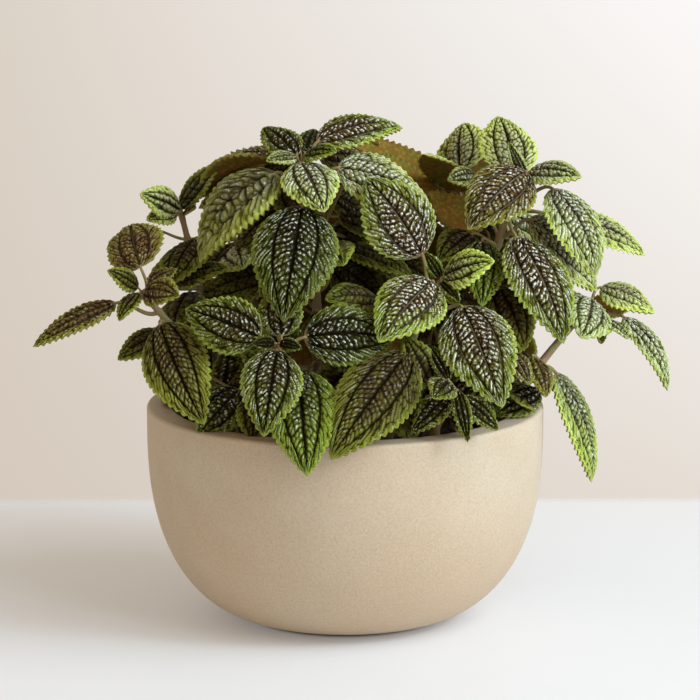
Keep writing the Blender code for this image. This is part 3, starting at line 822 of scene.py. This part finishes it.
def leaf_finish(colours):
    """Quilted leaf: dark between the puckers, partly its own colour and partly painted shade in the
    hollows, and dark along the veins, green outwards, lime at the rim.

    The puckers' tops are glossy, and carry painted glints in silver. Some leaves have a painted pale
    sheen over their puckers, and each leaf's colours are multiplied by its light, partly its own tone
    and partly painted light. The underside is brown and green with a net of veins, and the stalk is like
    the stem.
    The shape gives the first eight attributes, and the leaf's own look the others.
    """
    leaf = Finish("leaf", IOR=1.4, Specular_IOR_Level=0.06, Coat_Roughness=0.2, Coat_IOR=1.6)
    shape = ("relief", "peak", "outer", "rim", "vein", "cross", "under", "stalk")
    relief, peak, outer, rim, vein, cross, under, stalk = map(leaf.attribute, shape)
    bronze, fresh, silver, lime, light, frost, pale, ridged = map(leaf.attribute, Look._fields)
    patches = leaf.noise(9 * MM)
    grain = leaf.noise(0.9 * MM, 3)
    middle = leaf.mix(bronze, colours.dark_green, colours.bronze)
    middle = leaf.mix(patches.between(0.45, 0.75) * 0.4, middle, colours.olive)
    margin = leaf.mix(fresh, colours.olive, colours.fresh_green)
    spread = outer + (patches - 0.5) * 0.3 + fresh * (1 - bronze) * 0.25
    outwards = spread.between(0.3, 1) * (1 - (bronze - fresh).between(0.5, 1) * 0.6)
    body = leaf.mix(outwards, middle, margin)
    body = leaf.mix((rim + (grain - 0.5) * 0.8).between(0.28, 1) * lime, body, colours.lime)
    # Darker between the puckers: partly the leaf's own dark colour in its grooves, partly painted shade
    # in the hollows.
    shaded = leaf.mix(1.0, body, colours.groove, "MULTIPLY")
    raised = relief + (grain - 0.5) * 0.3 + rim * 0.5 + ridged * 0.15
    body = leaf.mix(raised.between(0.0, 0.3), shaded, body)
    body = leaf.mix(cross * (1 - rim) * 0.95, body, leaf.mix(0.6, shaded, colours.vein))
    # Painted glints: silver dots and short crests on the puckers' tops stand in for glints of light on
    # them.
    glint_dots = 1 - leaf.cells(1.5 * MM).between(0.22, 0.46)
    fine = leaf.noise(0.5 * MM, 2)
    top = (peak * 0.6 + glint_dots * relief.between(0.05, 0.4) * 0.5 + (grain + fine - 1) * 0.8
           + silver * 0.45)
    # Painted sheen: a pale bloom over the raised puckers of some leaves stands in for a broad silvery
    # sheen of light.
    body = leaf.mix(frost * relief.between(0.0, 0.5), body, colours.frost)
    # Each leaf's colours under the glints are multiplied by its light: partly its own tone, partly
    # painted light, raised on leaves that face the lamps.
    tone_and_painted_light = leaf.node("ShaderNodeCombineColor", None, {0: light, 1: light, 2: light})
    body = leaf.mix(1.0, body, tone_and_painted_light, "MULTIPLY")
    # Painted glints in silver over the puckers' tops, fewer towards the edge and none in the cross
    # veins.
    painted_glints = top.between(0.68, 1.1) * silver * (1 - cross) * (1 - outwards * 0.4)
    body = leaf.mix(painted_glints, body, colours.silver)
    body = leaf.mix(vein * (1 - rim) * 0.9, body, colours.vein)
    body = leaf.mix(vein ** 8 * pale, body, colours.pale_vein)
    net = leaf.cells(2.4 * MM).between(0.1, 0.6)
    brown = leaf.mix(patches.between(0.3, 0.7), colours.underside, colours.underside_green)
    brown = leaf.mix(net * 0.6, brown, leaf.mix(1.0, brown, (0.4, 0.35, 0.3), "MULTIPLY"))
    brown = leaf.mix(rim.between(0.2, 0.9) * 0.85, brown, colours.lime)
    body = leaf.mix(under, body, brown)
    skin = leaf.mix(patches.between(0.35, 0.65), colours.stalk, colours.stalk_green)
    body = leaf.mix(stalk, body, skin)
    rough = 0.45 + (1 - relief) * 0.2 + under * 0.1
    leaf.bump(grain * (0.6 + relief), 0.25 * MM, 0.7)
    return leaf.shows(Base_Color=body, Roughness=rough, Coat_Weight=peak.between(0.3, 0.9))


def stem_finish(colours):
    """Fleshy stem: pinkish brown with green patches and darker streaks."""
    stem = Finish("stem", IOR=1.45)
    patches = stem.noise(12 * MM)
    streaks = stem.noise(1.5 * MM, 3)
    body = stem.mix(patches.between(0.4, 0.7), colours.stalk, colours.stalk_green)
    body = stem.mix(streaks.between(0.5, 0.8) * 0.4, body, colours.underside)
    stem.bump(streaks, 0.2 * MM, 0.6)
    return stem.shows(Base_Color=body, Roughness=0.5 + streaks * 0.2)


def stoneware_finish(colours):
    """Matte stoneware: sandy body, cloudy in two sizes, warmer in random clouds and, as painted bounce
    light, towards the foot, with fine specks.
    """
    clay = Finish("stoneware", IOR=1.5, Coat_Weight=0.3, Coat_Roughness=0.55)
    clouds = clay.noise(28 * MM, 4)
    firing = clay.noise(70 * MM, 2)
    sand = clay.noise(1.1 * MM, 3, 0.8)
    specks = clay.cells(1.8 * MM)
    body = clay.mix(clouds.between(0.3, 0.7), colours.clay, colours.clay_light)
    # Warmer towards the foot: painted warm bounce light from the floor, added to warm clouds of the
    # clay's own tone.
    level = clay.node("ShaderNodeSeparateXYZ", None, {"Vector": clay.place()}, "Z")
    low = 1 - level.between(BOWL_LOW[2] + 10 * MM, BOWL_LOW[2] + 70 * MM)
    warm_tone_and_painted_bounce = (firing.between(0.4, 0.65) * 0.45 + low * 0.5).between(0, 1)
    body = clay.mix(warm_tone_and_painted_bounce, body, colours.clay_warm_and_bounce)
    body = clay.mix((1 - sand).between(0.45, 0.7) * 0.35, body, colours.clay_grain)
    body = clay.mix(sand.between(0.5, 0.7) * 0.5, body, colours.clay_speck)
    body = clay.mix((1 - specks.between(0.08, 0.22)) * 0.5, body, colours.clay_speck)
    clay.bump(sand + clouds * 0.3, 0.22 * MM, 0.7)
    return clay.shows(Base_Color=body, Roughness=0.55 + sand * 0.15)


def soil_finish(colours):
    """Damp potting soil: dark brown, with paler and drier crumbs."""
    soil = Finish("potting_soil", IOR=1.4)
    crumbs = soil.noise(2.5 * MM, 4, 0.7)
    fine = soil.noise(0.7 * MM, 3)
    body = soil.mix(crumbs.between(0.35, 0.7), colours.soil, colours.soil_light)
    soil.bump(crumbs + fine * 0.4, 1.0 * MM, 1.0)
    return soil.shows(Base_Color=body, Roughness=0.85 + fine * 0.1)


# Bowl and soil


def bowl_side(radius, foot, bottom, steps, sizes):
    """The bowl's side from its foot up, as an angle t goes from 0 to a right angle.

    The radius grows with a power of the sine of t, and the height with one less a power of its cosine.
    """
    t = np.linspace(0, math.pi / 2, steps)
    out = foot + (radius - foot) * np.sin(t) ** sizes.side_power
    rise = bottom + (sizes.upright_from - bottom) * (1 - np.cos(t).clip(0) ** sizes.rise_power)
    return np.stack((out, rise), axis=1)


def arc(centre, radius, start, end, steps):
    """Points round a centre in the plane of radius and height, between two angles in degrees."""
    turn = np.radians(np.linspace(start, end, steps))
    return np.stack((centre[0] + radius * np.cos(turn), centre[1] + radius * np.sin(turn)), axis=1)


def turned(profile, sides, waviness=0.0):
    """A surface turned about the middle from a profile that starts and ends on the axis.

    The radius is that of the profile times one plus a slow wave round the turn, as on a thing
    thrown by hand.
    """
    turn = np.linspace(0, 2 * math.pi, sides, endpoint=False)[None, :, None]
    around = np.concatenate((np.cos(turn), np.sin(turn)), axis=2)
    ring = profile[1:-1]
    wave = 1 + waviness * np.sin(3 * turn + 40 * ring[:, None, 1:])
    flat = ring[:, None, :1] * wave * around
    points = np.concatenate((flat, np.broadcast_to(ring[:, None, 1:], (*flat.shape[:2], 1))), axis=2)
    ends = np.array(((0, 0, profile[0, 1]), (0, 0, profile[-1, 1])))
    points = np.concatenate((points.reshape(-1, 3), ends)) + FOOT
    travel = np.concatenate(((0,), np.cumsum(np.linalg.norm(np.diff(profile, axis=0), axis=1))))
    travel = 0.01 + 0.98 * travel / travel[-1]
    spots = ring_spots(travel[1:-1], np.linspace(0.01, 0.99, sides + 1), ((0.005, 0.5), (0.995, 0.5)))
    faces, spot_faces = ring_faces(len(ring), sides)
    return Surface(points, faces, spots[:, ::-1], spot_faces)


def bowl_surface(sizes):
    """The bowl: its foot, rounded side, upright rim, inside and floor.

    The flat foot stands back under the foot line. The rim is wider than the wall, and rounded at both
    edges.
    """
    wall, lip = sizes.wall, sizes.height - sizes.rim_round
    outer = bowl_side(sizes.radius, sizes.foot_radius, sizes.foot_line, OUTER_STEPS, sizes)
    inner = bowl_side(sizes.radius - wall, sizes.foot_radius - wall / 2, sizes.floor, INNER_STEPS, sizes)
    ring = sizes.foot_radius - sizes.foot_inset
    foot = ((0, 0), (ring / 2, 0), (ring - 1 * MM, 0), (ring, 0.3 * MM), (ring, sizes.foot_line * 0.8))
    inside = sizes.radius - sizes.rim_width + sizes.rim_round
    rim = np.concatenate((arc((sizes.radius - sizes.rim_round, lip), sizes.rim_round, 0, 90, RIM_STEPS),
                          arc((inside, lip), sizes.rim_round, 90, 180, RIM_STEPS)))
    profile = np.concatenate((foot, outer, rim, inner[::-1], ((0, sizes.floor),)))
    return turned(profile, BOWL_SIDES, WAVINESS)


def rumple(x, y, draw, waves, longest, shortest):
    """Uneven ground: the sum of cosines that cross in random directions, shorter ones being lower."""
    share = np.linspace(0, 1, waves)
    length = longest * (shortest / longest) ** share
    way, start = draw.uniform(0, 2 * math.pi, waves), draw.uniform(0, 2 * math.pi, waves)
    across = x[..., None] * np.cos(way) + y[..., None] * np.sin(way)
    return (np.cos(2 * math.pi * across / length + start) * length).sum(axis=-1) / length.sum() * 3


def soil_height(x, y, sizes):
    """Height of the soil's top: a low mound that falls with the square of the radius, rumpled."""
    draw = draw_for("soil")
    share = np.hypot(x, y) / (sizes.radius - sizes.wall)
    mound = sizes.soil_top - (sizes.soil_top - sizes.soil_edge) * share ** 2
    lumps = rumple(x, y, draw, SOIL_WAVES, longest=30 * MM, shortest=3 * MM) * sizes.soil_lumps
    return mound + lumps * (1 - share ** 8)


def soil_surface(sizes):
    """The soil: a plug turned to lie against the bowl's inside, whose top is lifted to its height."""
    radius, foot = sizes.radius - sizes.wall, sizes.foot_radius - sizes.wall / 2
    inner = bowl_side(radius, foot, sizes.floor, INNER_STEPS, sizes)
    inner = inner[inner[:, 1] < sizes.soil_edge - PLUG_END * MM] + (-PLUG_GAP * MM, PLUG_GAP * MM)
    reach = np.linspace(radius - SOIL_GAP * MM, 0, SOIL_RINGS)
    top = np.stack((reach, np.full(SOIL_RINGS, sizes.soil_edge)), axis=1)
    profile = np.concatenate((((0, inner[0, 1]),), inner, top))
    plug = turned(profile, SOIL_SIDES)
    x, y, z = (plug.points - FOOT).T
    on_top = z > sizes.soil_edge - 1 * MM
    plug.points[:, 2] += np.where(on_top, soil_height(x, y, sizes) - sizes.soil_edge, 0)
    return plug


def crumb_surfaces(sizes, count):
    """Crumbs of soil: small balls that lie on it at random.

    A ball's points are a unit sphere's, each times a random dent, then times the crumb's random
    stretch along each way and its radius. The root of an even random share spreads them evenly.
    """
    draw = draw_for("crumbs")
    rings, sides = CRUMB_RINGS, CRUMB_SIDES
    lift, turn = np.meshgrid(np.linspace(-1, 1, rings + 2)[1:-1] * 1.1,
                             2 * math.pi * np.arange(sides) / sides, indexing="ij")
    ball = np.stack((np.cos(lift) * np.cos(turn), np.cos(lift) * np.sin(turn), np.sin(lift)), axis=-1)
    ball = np.concatenate((ball.reshape(-1, 3), ((0, 0, -1), (0, 0, 1))))
    radius = draw.uniform(0.7, 1.9, count) ** 1.5 * MM
    away = (sizes.radius - sizes.wall - 3 * MM) * np.sqrt(draw.random(count))
    angle = draw.uniform(0, 2 * math.pi, count)
    x, y = away * np.cos(angle), away * np.sin(angle)
    middle = np.stack((x, y, soil_height(x, y, sizes) + 0.3 * radius), axis=1)
    dents = draw.uniform(0.7, 1.25, (count, len(ball), 1))
    stretch = draw.uniform(0.6, 1.3, (count, 1, 3))
    points = FOOT + middle[:, None] + ball * dents * stretch * radius[:, None, None]
    faces, spot_faces = ring_faces(rings, sides)
    spots = ring_spots(np.linspace(0.25, 0.75, rings), np.linspace(0.1, 0.9, sides + 1),
                       ((0.1, 0.5), (0.9, 0.5)))[:, ::-1]
    cells = math.ceil(math.sqrt(count))
    corner = np.stack((np.arange(count) % cells, np.arange(count) // cells), axis=1)
    tiled = (spots + corner[:, None]).reshape(-1, 2) / cells

    def repeated(group, step):
        """A crumb's faces for each crumb, whose points are numbered on by the step."""
        return (group + np.arange(count)[:, None, None] * step).reshape(-1, group.shape[1])

    return Surface(points.reshape(-1, 3), [repeated(group, len(ball)) for group in faces], tiled,
                   [repeated(group, len(spots)) for group in spot_faces])


def stem_surface(shoot, sizes):
    """A stem that narrows evenly towards its tip, and swells where leaves join it or have joined it.

    The radius at a distance d from the nearest joint is larger by a share of it that falls as
    e to the power of minus the square of d over the joint's reach.
    """
    along = np.linspace(0, 1, STEM_RINGS)
    spec = SHOOTS[shoot]
    radii = sizes.stem_foot + along * (sizes.stem_tip - sizes.stem_foot)
    length = np.linalg.norm(stem_point(shoot, 1) - stem_point(shoot, 0))
    joints = {leaf.along for leaf in LARGE_LEAVES + SMALL_LEAVES if leaf.shoot == shoot}
    if spec.twist is not None:
        joints |= {pair.along for pair in PAIRS}
    joints = np.array(sorted(joints | BARE_JOINTS))
    near = np.exp(-(((along[:, None] - joints) * length / (JOINT_REACH * MM)) ** 2)).max(axis=1)
    return tube(stem_point(shoot, along), radii * (1 + JOINT_SWELL * near), STEM_SIDES, (0.02, 0.98))


# Settings

# Each kind of setting, from its name, its default and its description. Lengths are in millimetres.


def length(name, millimetres, description):
    return FloatProperty(name=name, description=description, default=millimetres * MM, min=0,
                         unit="LENGTH")


def share(name, default, description):
    return FloatProperty(name=name, description=description, default=default, min=0, subtype="FACTOR")


def number(name, default, description):
    return FloatProperty(name=name, description=description, default=default, min=0)


def power(name, default, description):
    return FloatProperty(name=name, description=description, default=default, min=0, unit="POWER")


def count(name, default, description):
    return IntProperty(name=name, description=description, default=default, min=1)


def colour(name, default, description):
    return FloatVectorProperty(name=name, description=description, default=default, subtype="COLOR",
                               min=0, max=1)


class BowlSizes(PropertyGroup):
    """Sizes of the bowl and its soil"""
    radius: length("Radius", 100, "Outside radius of the bowl at its rim")
    height: length("Height", BOWL_HEIGHT_MM, "Height of the bowl")
    wall: length("Wall", 10, "Thickness of the wall")
    rim_width: length("Rim width", 13, "Thickness of the wall at the rim")
    floor: length("Floor", 9, "Thickness of the bottom")
    foot_radius: length("Foot radius", 46, "Radius of the line round the foot")
    foot_line: length("Foot line", 1.4, "Height of that line")
    foot_inset: length("Foot inset", 5, "How far the flat underside stands back from it")
    upright_from: length("Upright from", 98.5, "Height above which the wall stands upright")
    rim_round: length("Rim rounding", 1.8, "Radius of the rim's two edges")
    side_power: number("Side power", 1.05, "How the radius grows from foot to rim")
    rise_power: number("Rise power", 0.8, "How the height grows from foot to rim")
    soil_top: length("Soil top", 98, "Height of the soil in the middle")
    soil_edge: length("Soil edge", 94, "Height of the soil at the wall")
    soil_lumps: length("Soil lumps", 1.2, "Height of the soil's lumps")
    crumbs: count("Crumbs", 500, "Number of loose crumbs on the soil")


class PlantSizes(PropertyGroup):
    """Sizes of the stems and leaves"""
    stem_foot: length("Stem foot", 2.6, "Radius of a stem where it leaves the soil")
    stem_tip: length("Stem tip", 1.4, "Radius of a stem at its tip")
    petiole: length("Petiole", 1.1, "Radius of the stalk of a large leaf")
    petiole_ease: share("Petiole ease", 0.4, "How long a stalk keeps its first and last direction")
    grown_length: length("Grown leaf", 55, "Length of a leaf whose relief is full")
    thickness: length("Thickness", 0.4, "Thickness of a leaf")
    camber: share("Camber", 0.10, "How far a blade's edges fall below its middle, over its width")
    relief: length("Relief", 1.2, "Height of a pucker on a large leaf")
    pucker: length("Pucker", 2.45, "Width of a pucker")
    fewest_rows: count("Fewest rows", 6, "Rows of puckers on the smallest leaf")
    rows_per_metre: number("Rows", 235, "Further rows of puckers to a metre of leaf")
    vein: length("Vein", 0.8, "Half-width of the groove along a main vein")
    tooth: length("Tooth", 1.7, "Length of a tooth at the margin of a large leaf")
    teeth_per_row: number("Teeth", 0.85, "Teeth to a row of puckers")
    steps_per_row: count("Steps along", 6, "Rows of faces to a row of puckers")
    steps_per_pucker: count("Steps across", 5, "Columns of faces to a pucker")


class PlantColours(PropertyGroup):
    """Colours of the plant, its soil and its bowl"""
    dark_green: colour("Dark green", (0.026, 0.029, 0.005), "Middle of a green leaf")
    bronze: colour("Bronze", (0.052, 0.029, 0.009), "Middle of a bronze leaf")
    olive: colour("Olive", (0.135, 0.130, 0.016), "Towards the edge of a dull leaf")
    fresh_green: colour("Fresh green", (0.145, 0.190, 0.017), "Towards the edge of a fresh leaf")
    lime: colour("Lime", (0.255, 0.31, 0.055), "Rim and teeth")
    # Painted glints: this silver stands in for glints of light on the puckers.
    silver: colour("Silver", (0.68, 0.71, 0.60), "Bloom on top of the puckers")
    # Painted sheen: a pale bloom that stands in for a broad silvery sheen of light.
    frost: colour("Frost", (0.38, 0.40, 0.22), "Bloom over the puckers of a frosted leaf")
    # Groove tint: partly the leaf's own dark colour, partly painted shade in the hollows between
    # puckers.
    groove: colour("Groove", (0.10, 0.07, 0.04), "Tint of the grooves between puckers")
    vein: colour("Vein", (0.007, 0.005, 0.001), "Main veins from above")
    pale_vein: colour("Pale vein", (0.420, 0.340, 0.230), "Main veins of a leaf with pale ones")
    underside: colour("Underside", (0.320, 0.155, 0.032), "Underside, bronze parts")
    underside_green: colour("Green underside", (0.215, 0.185, 0.028), "Underside, green parts")
    stalk: colour("Stalk", (0.270, 0.165, 0.085), "Stems and leaf stalks")
    stalk_green: colour("Green stalk", (0.270, 0.250, 0.090), "Green patches of stems and stalks")
    clay: colour("Clay", (0.51, 0.402, 0.27), "Body of the bowl")
    clay_light: colour("Light clay", (0.565, 0.463, 0.33), "Pale clouds of the bowl")
    # Warm clay serves both for the clay's warm clouds and for painted bounce light towards the foot.
    clay_warm_and_bounce: colour("Warm clay", (0.545, 0.385, 0.235), "Warm clouds of the bowl")
    clay_grain: colour("Clay grains", (0.66, 0.565, 0.42), "Pale grains of the bowl")
    clay_speck: colour("Clay specks", (0.38, 0.30, 0.21), "Specks of the bowl")
    soil: colour("Soil", (0.030, 0.020, 0.013), "Damp soil")
    soil_light: colour("Light soil", (0.095, 0.062, 0.040), "Dry crumbs")


class StageLight(PropertyGroup):
    """Floor, backdrop, light and camera"""
    key_power: power("Key power", 46, "Power of the main lamp")
    glint_power: power("Glint power", 12, "Power of the lamp that makes glints")
    glint_size: length("Glint size", 450, "Side of the lamp that makes glints")
    key_colour: colour("Key colour", (0.72, 0.86, 1.0), "Colour of both lamps")
    key_size: length("Key size", 2000, "Side of the main lamp")
    key_distance: length("Key distance", 2000, "Distance of both lamps")
    ambient: colour("Ambient", (0.55, 0.452, 0.332), "Light from all round")
    floor: colour("Floor", (0.725, 0.725, 0.725), "Floor")
    floor_glow: colour("Floor glow", (0.12, 0.125, 0.135), "Light that the floor gives off")
    dark_within: length("Dark within", 47, "How far from the bowl's middle the floor gives off none")
    floor_end: length("Floor end", 245, "How far behind the bowl's middle the floor ends")
    wall_left: colour("Left of backdrop", (0.71, 0.64, 0.56), "Backdrop on the left")
    wall_left_low: colour("Low left of backdrop", (0.66, 0.58, 0.50), "On the left above the floor")
    wall_right: colour("Right of backdrop", (0.97, 0.95, 0.94), "Backdrop on the right")
    wall_right_low: colour("Low right of backdrop", (0.78, 0.72, 0.65), "On the right above the floor")
    lens: FloatProperty(name="Lens", description="Focal length", default=203.66, min=1, unit="CAMERA")
    distance: length("Camera distance", 2000, "From the middle of the rim to the camera")
    elevation: FloatProperty(name="Elevation", description="Camera's height above the rim as an angle",
                             default=math.radians(12), subtype="ANGLE")


# Operators


def solid(node):
    """The solid of that name to stand for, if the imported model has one."""
    return (node,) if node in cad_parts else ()


class PLANT_OT_bowl(Operator):
    """Turn the stoneware bowl"""
    bl_idname = "plant.bowl"
    bl_label = "Bowl"

    def execute(self, context):
        surface = bowl_surface(context.scene.plant_bowl)
        finish = stoneware_finish(context.scene.plant_colours)
        make_piece("bowl", surface, finish, stands_for=("pot",))
        return {"FINISHED"}


class PLANT_OT_soil(Operator):
    """Fill the bowl with soil and strew crumbs on it"""
    bl_idname = "plant.soil"
    bl_label = "Soil"

    def execute(self, context):
        sizes = context.scene.plant_bowl
        finish = soil_finish(context.scene.plant_colours)
        make_piece("soil_bed", soil_surface(sizes), finish, stands_for=("soil",))
        make_piece("soil_crumbs", crumb_surfaces(sizes, sizes.crumbs), finish)
        return {"FINISHED"}


class PLANT_OT_stems(Operator):
    """Grow the stems"""
    bl_idname = "plant.stems"
    bl_label = "Stems"

    def execute(self, context):
        finish = stem_finish(context.scene.plant_colours)
        for shoot in SHOOTS:
            surface = stem_surface(shoot, context.scene.plant_sizes)
            make_piece("branch_" + shoot, surface, finish, stands_for=solid("stem_" + shoot))
        return {"FINISHED"}


class PLANT_OT_leaves(Operator):
    """Grow the leaves of every shoot, each with its stalk"""
    bl_idname = "plant.leaves"
    bl_label = "Leaves"

    def execute(self, context):
        sizes = context.scene.plant_sizes
        finish = leaf_finish(context.scene.plant_colours)
        for shoot, spec in SHOOTS.items():
            leaves = [(leaf, FINEST) for leaf in LARGE_LEAVES if leaf.shoot == shoot]
            leaves += [] if spec.twist is None else [(leaf, COARSE) for leaf in ruled_leaves(shoot)]
            leaves += [(leaf, FINE) for leaf in SMALL_LEAVES if leaf.shoot == shoot]
            for k, (leaf, fineness) in enumerate(leaves, 1):
                name = f"foliage_{shoot}_{k}"
                surface, masks = whole_leaf(leaf, name, sizes, fineness)
                make_piece(name, surface, finish, masks, solid(f"leaf_{shoot}_{k}"))
        return {"FINISHED"}


class PLANT_OT_inner_leaves(Operator):
    """Fill the inside of the plant with small leaves, one piece for each shoot"""
    bl_idname = "plant.inner_leaves"
    bl_label = "Inner leaves"

    def execute(self, context):
        sizes = context.scene.plant_sizes
        finish = leaf_finish(context.scene.plant_colours)
        for shoot in SHOOTS:
            name = "inner_foliage_" + shoot
            leaves = inner_leaves(shoot)
            made = [whole_leaf(leaf, f"{name} {k}", sizes, COARSEST) for k, leaf in enumerate(leaves)]
            across = math.ceil(math.sqrt(len(made)))
            tiled = [surface._replace(spots=(surface.spots + (k % across, k // across)) / across)
                     for k, (surface, masks) in enumerate(made)]
            masks = {label: np.concatenate([np.broadcast_to(masks[label], len(surface.points))
                                            for surface, masks in made]) for label in made[0][1]}
            make_piece(name, joined(tiled), finish, masks)
        return {"FINISHED"}


class PLANT_OT_stage(Operator):
    """Set the floor, the backdrop, the light and the camera"""
    bl_idname = "plant.stage"
    bl_label = "Stage"

    def execute(self, context):
        stage = context.scene.plant_stage
        make_floor(stage)
        make_backdrop(context.scene, stage)
        make_lamp(context.scene, "window", stage.key_power, stage.key_size, stage)
        make_lamp(context.scene, "sun", stage.glint_power, stage.glint_size, stage)
        make_camera(context.scene, stage)
        context.scene.view_settings.view_transform = "Standard"
        return {"FINISHED"}


def make_floor(stage):
    """A flat floor whose far edge fades out.

    It gives off a little light even in shadow, but none near the bowl's foot, so that the foot has a
    dark line round it.
    """
    floor = Finish("floor", IOR=1.4, Emission_Strength=1)
    across, level = (floor.node("ShaderNodeSeparateXYZ", None, {"Vector": floor.place()}, way)
                     for way in "XY")
    from_bowl = ((across - FOOT[0]) ** 2 + (level - FOOT[1]) ** 2) ** 0.5
    lit = from_bowl.between(stage.dark_within, stage.dark_within + DARK_FADE * MM)
    glow = floor.mix(lit, (0, 0, 0), stage.floor_glow)
    clouds = floor.noise(60 * MM, 4)
    darker = tuple(0.8 * part for part in stage.floor)
    body = floor.mix(clouds.between(0.3, 0.7) * 0.05, stage.floor, darker)
    far = stage.floor_end
    fade = 1 - level.between(far - EDGE_FADE * MM, far + EDGE_FADE * MM)
    finish = floor.shows(Base_Color=body, Roughness=0.6, Alpha=fade, Emission_Color=glow)
    mesh = bpy.data.meshes.new("floor")
    wide, near = 1500 * MM, -2500 * MM
    z = BOWL_LOW[2]
    corners = [(-wide, near, z), (wide, near, z), (wide, far + 10 * MM, z), (-wide, far + 10 * MM, z)]
    mesh.from_pydata(corners, [], [(0, 1, 2, 3)])
    mesh.materials.append(finish)
    ground = bpy.data.objects.new("floor", mesh)
    bpy.context.scene.collection.objects.link(ground)


def make_backdrop(scene, stage):
    """A world that lights evenly, and shows the camera a wall with painted light on it, paler to the
    right and upwards.
    """
    world = bpy.data.worlds.new("backdrop")
    world.use_nodes = True
    scene.world = world
    sky = Nodes(world.node_tree)
    way = sky.node("ShaderNodeTexCoord", None, None, "Generated")
    sideways = sky.node("ShaderNodeSeparateXYZ", None, {"Vector": way}, "X")
    upwards = sky.node("ShaderNodeSeparateXYZ", None, {"Vector": way}, "Z").between(*WALL_HEIGHTS)
    left = sky.mix(upwards, stage.wall_left_low, stage.wall_left)
    right = sky.mix(upwards, stage.wall_right_low, stage.wall_right)
    wall = sky.mix(sideways.between(*WALL_SIDES), left, right)
    seen = [sky.node("ShaderNodeLightPath", None, None, label)
            for label in ("Is Camera Ray", "Is Glossy Ray", "Is Transmission Ray")]
    plain = sky.tree.nodes["Background"]
    plain.inputs["Color"].default_value = (*stage.ambient, 1)
    shown = sky.node("ShaderNodeBackground", None, {"Color": wall}, "Background")
    direct = (seen[0] + seen[1] + seen[2]).between(0, 1)
    mixed = sky.node("ShaderNodeMixShader", None, {"Fac": direct}, "Shader")
    sky.tree.links.new(plain.outputs["Background"], mixed.socket.node.inputs[1])
    sky.tree.links.new(shown.socket, mixed.socket.node.inputs[2])
    sky.tree.links.new(mixed.socket, sky.tree.nodes["World Output"].inputs["Surface"])


def make_lamp(scene, label, power, size, stage):
    """A square lamp up on the right and in front, which looks at the middle of the plant."""
    lamp = bpy.data.lights.new(label, "AREA")
    lamp.energy, lamp.color, lamp.size = power, stage.key_colour, size
    way = unit(np.array(LAMPS_FROM))
    holder = bpy.data.objects.new(label, lamp)
    holder.location = place((0, 0, LAMPS_AIM)) + way * stage.key_distance
    holder.rotation_euler = Vector(way).to_track_quat("Z", "Y").to_euler()
    scene.collection.objects.link(holder)


def make_camera(scene, stage):
    """A camera in front of the bowl and a little above its rim."""
    camera = bpy.data.objects.new("camera", bpy.data.cameras.new("camera"))
    camera.data.lens = stage.lens
    up, back = math.sin(stage.elevation), math.cos(stage.elevation)
    target = place((0, 0, BOWL_HEIGHT_MM))
    camera.location = target + np.array((0, -back, up)) * stage.distance
    aim = target + np.array((AIM_ASIDE, AIM_UP * up, AIM_UP * back)) * MM
    way = Vector(camera.location) - Vector(aim)
    camera.rotation_euler = way.to_track_quat("Z", "Y").to_euler()
    scene.collection.objects.link(camera)
    scene.camera = camera


class PLANT_PT_panel(Panel):
    """Sizes, colours and steps of the potted plant"""
    bl_label = "Potted Friendship Plant"
    bl_space_type = "VIEW_3D"
    bl_region_type = "UI"
    bl_category = "Plant"

    def draw(self, context):
        for step in STEPS:
            self.layout.operator(step)
        for label in GROUPS:
            box = self.layout.box()
            group = getattr(context.scene, label)
            for item in group.bl_rna.properties:
                if not item.is_readonly and item.identifier != "name":
                    box.prop(group, item.identifier)


STEPS = ("plant.bowl", "plant.soil", "plant.stems", "plant.leaves", "plant.inner_leaves", "plant.stage")
GROUPS = {"plant_bowl": BowlSizes, "plant_sizes": PlantSizes, "plant_colours": PlantColours,
          "plant_stage": StageLight}
CLASSES = (*GROUPS.values(), PLANT_OT_bowl, PLANT_OT_soil, PLANT_OT_stems, PLANT_OT_leaves,
           PLANT_OT_inner_leaves, PLANT_OT_stage, PLANT_PT_panel)


def register():
    for item in CLASSES:
        bpy.utils.register_class(item)
    for label, group in GROUPS.items():
        setattr(bpy.types.Scene, label, PointerProperty(type=group))


def unregister():
    for label in GROUPS:
        delattr(bpy.types.Scene, label)
    for item in reversed(CLASSES):
        bpy.utils.unregister_class(item)


def main():
    register()
    bpy.ops.plant.bowl()
    bpy.ops.plant.soil()
    bpy.ops.plant.stems()
    bpy.ops.plant.leaves()
    bpy.ops.plant.inner_leaves()
    bpy.ops.plant.stage()


if __name__ == "__main__":
    main()
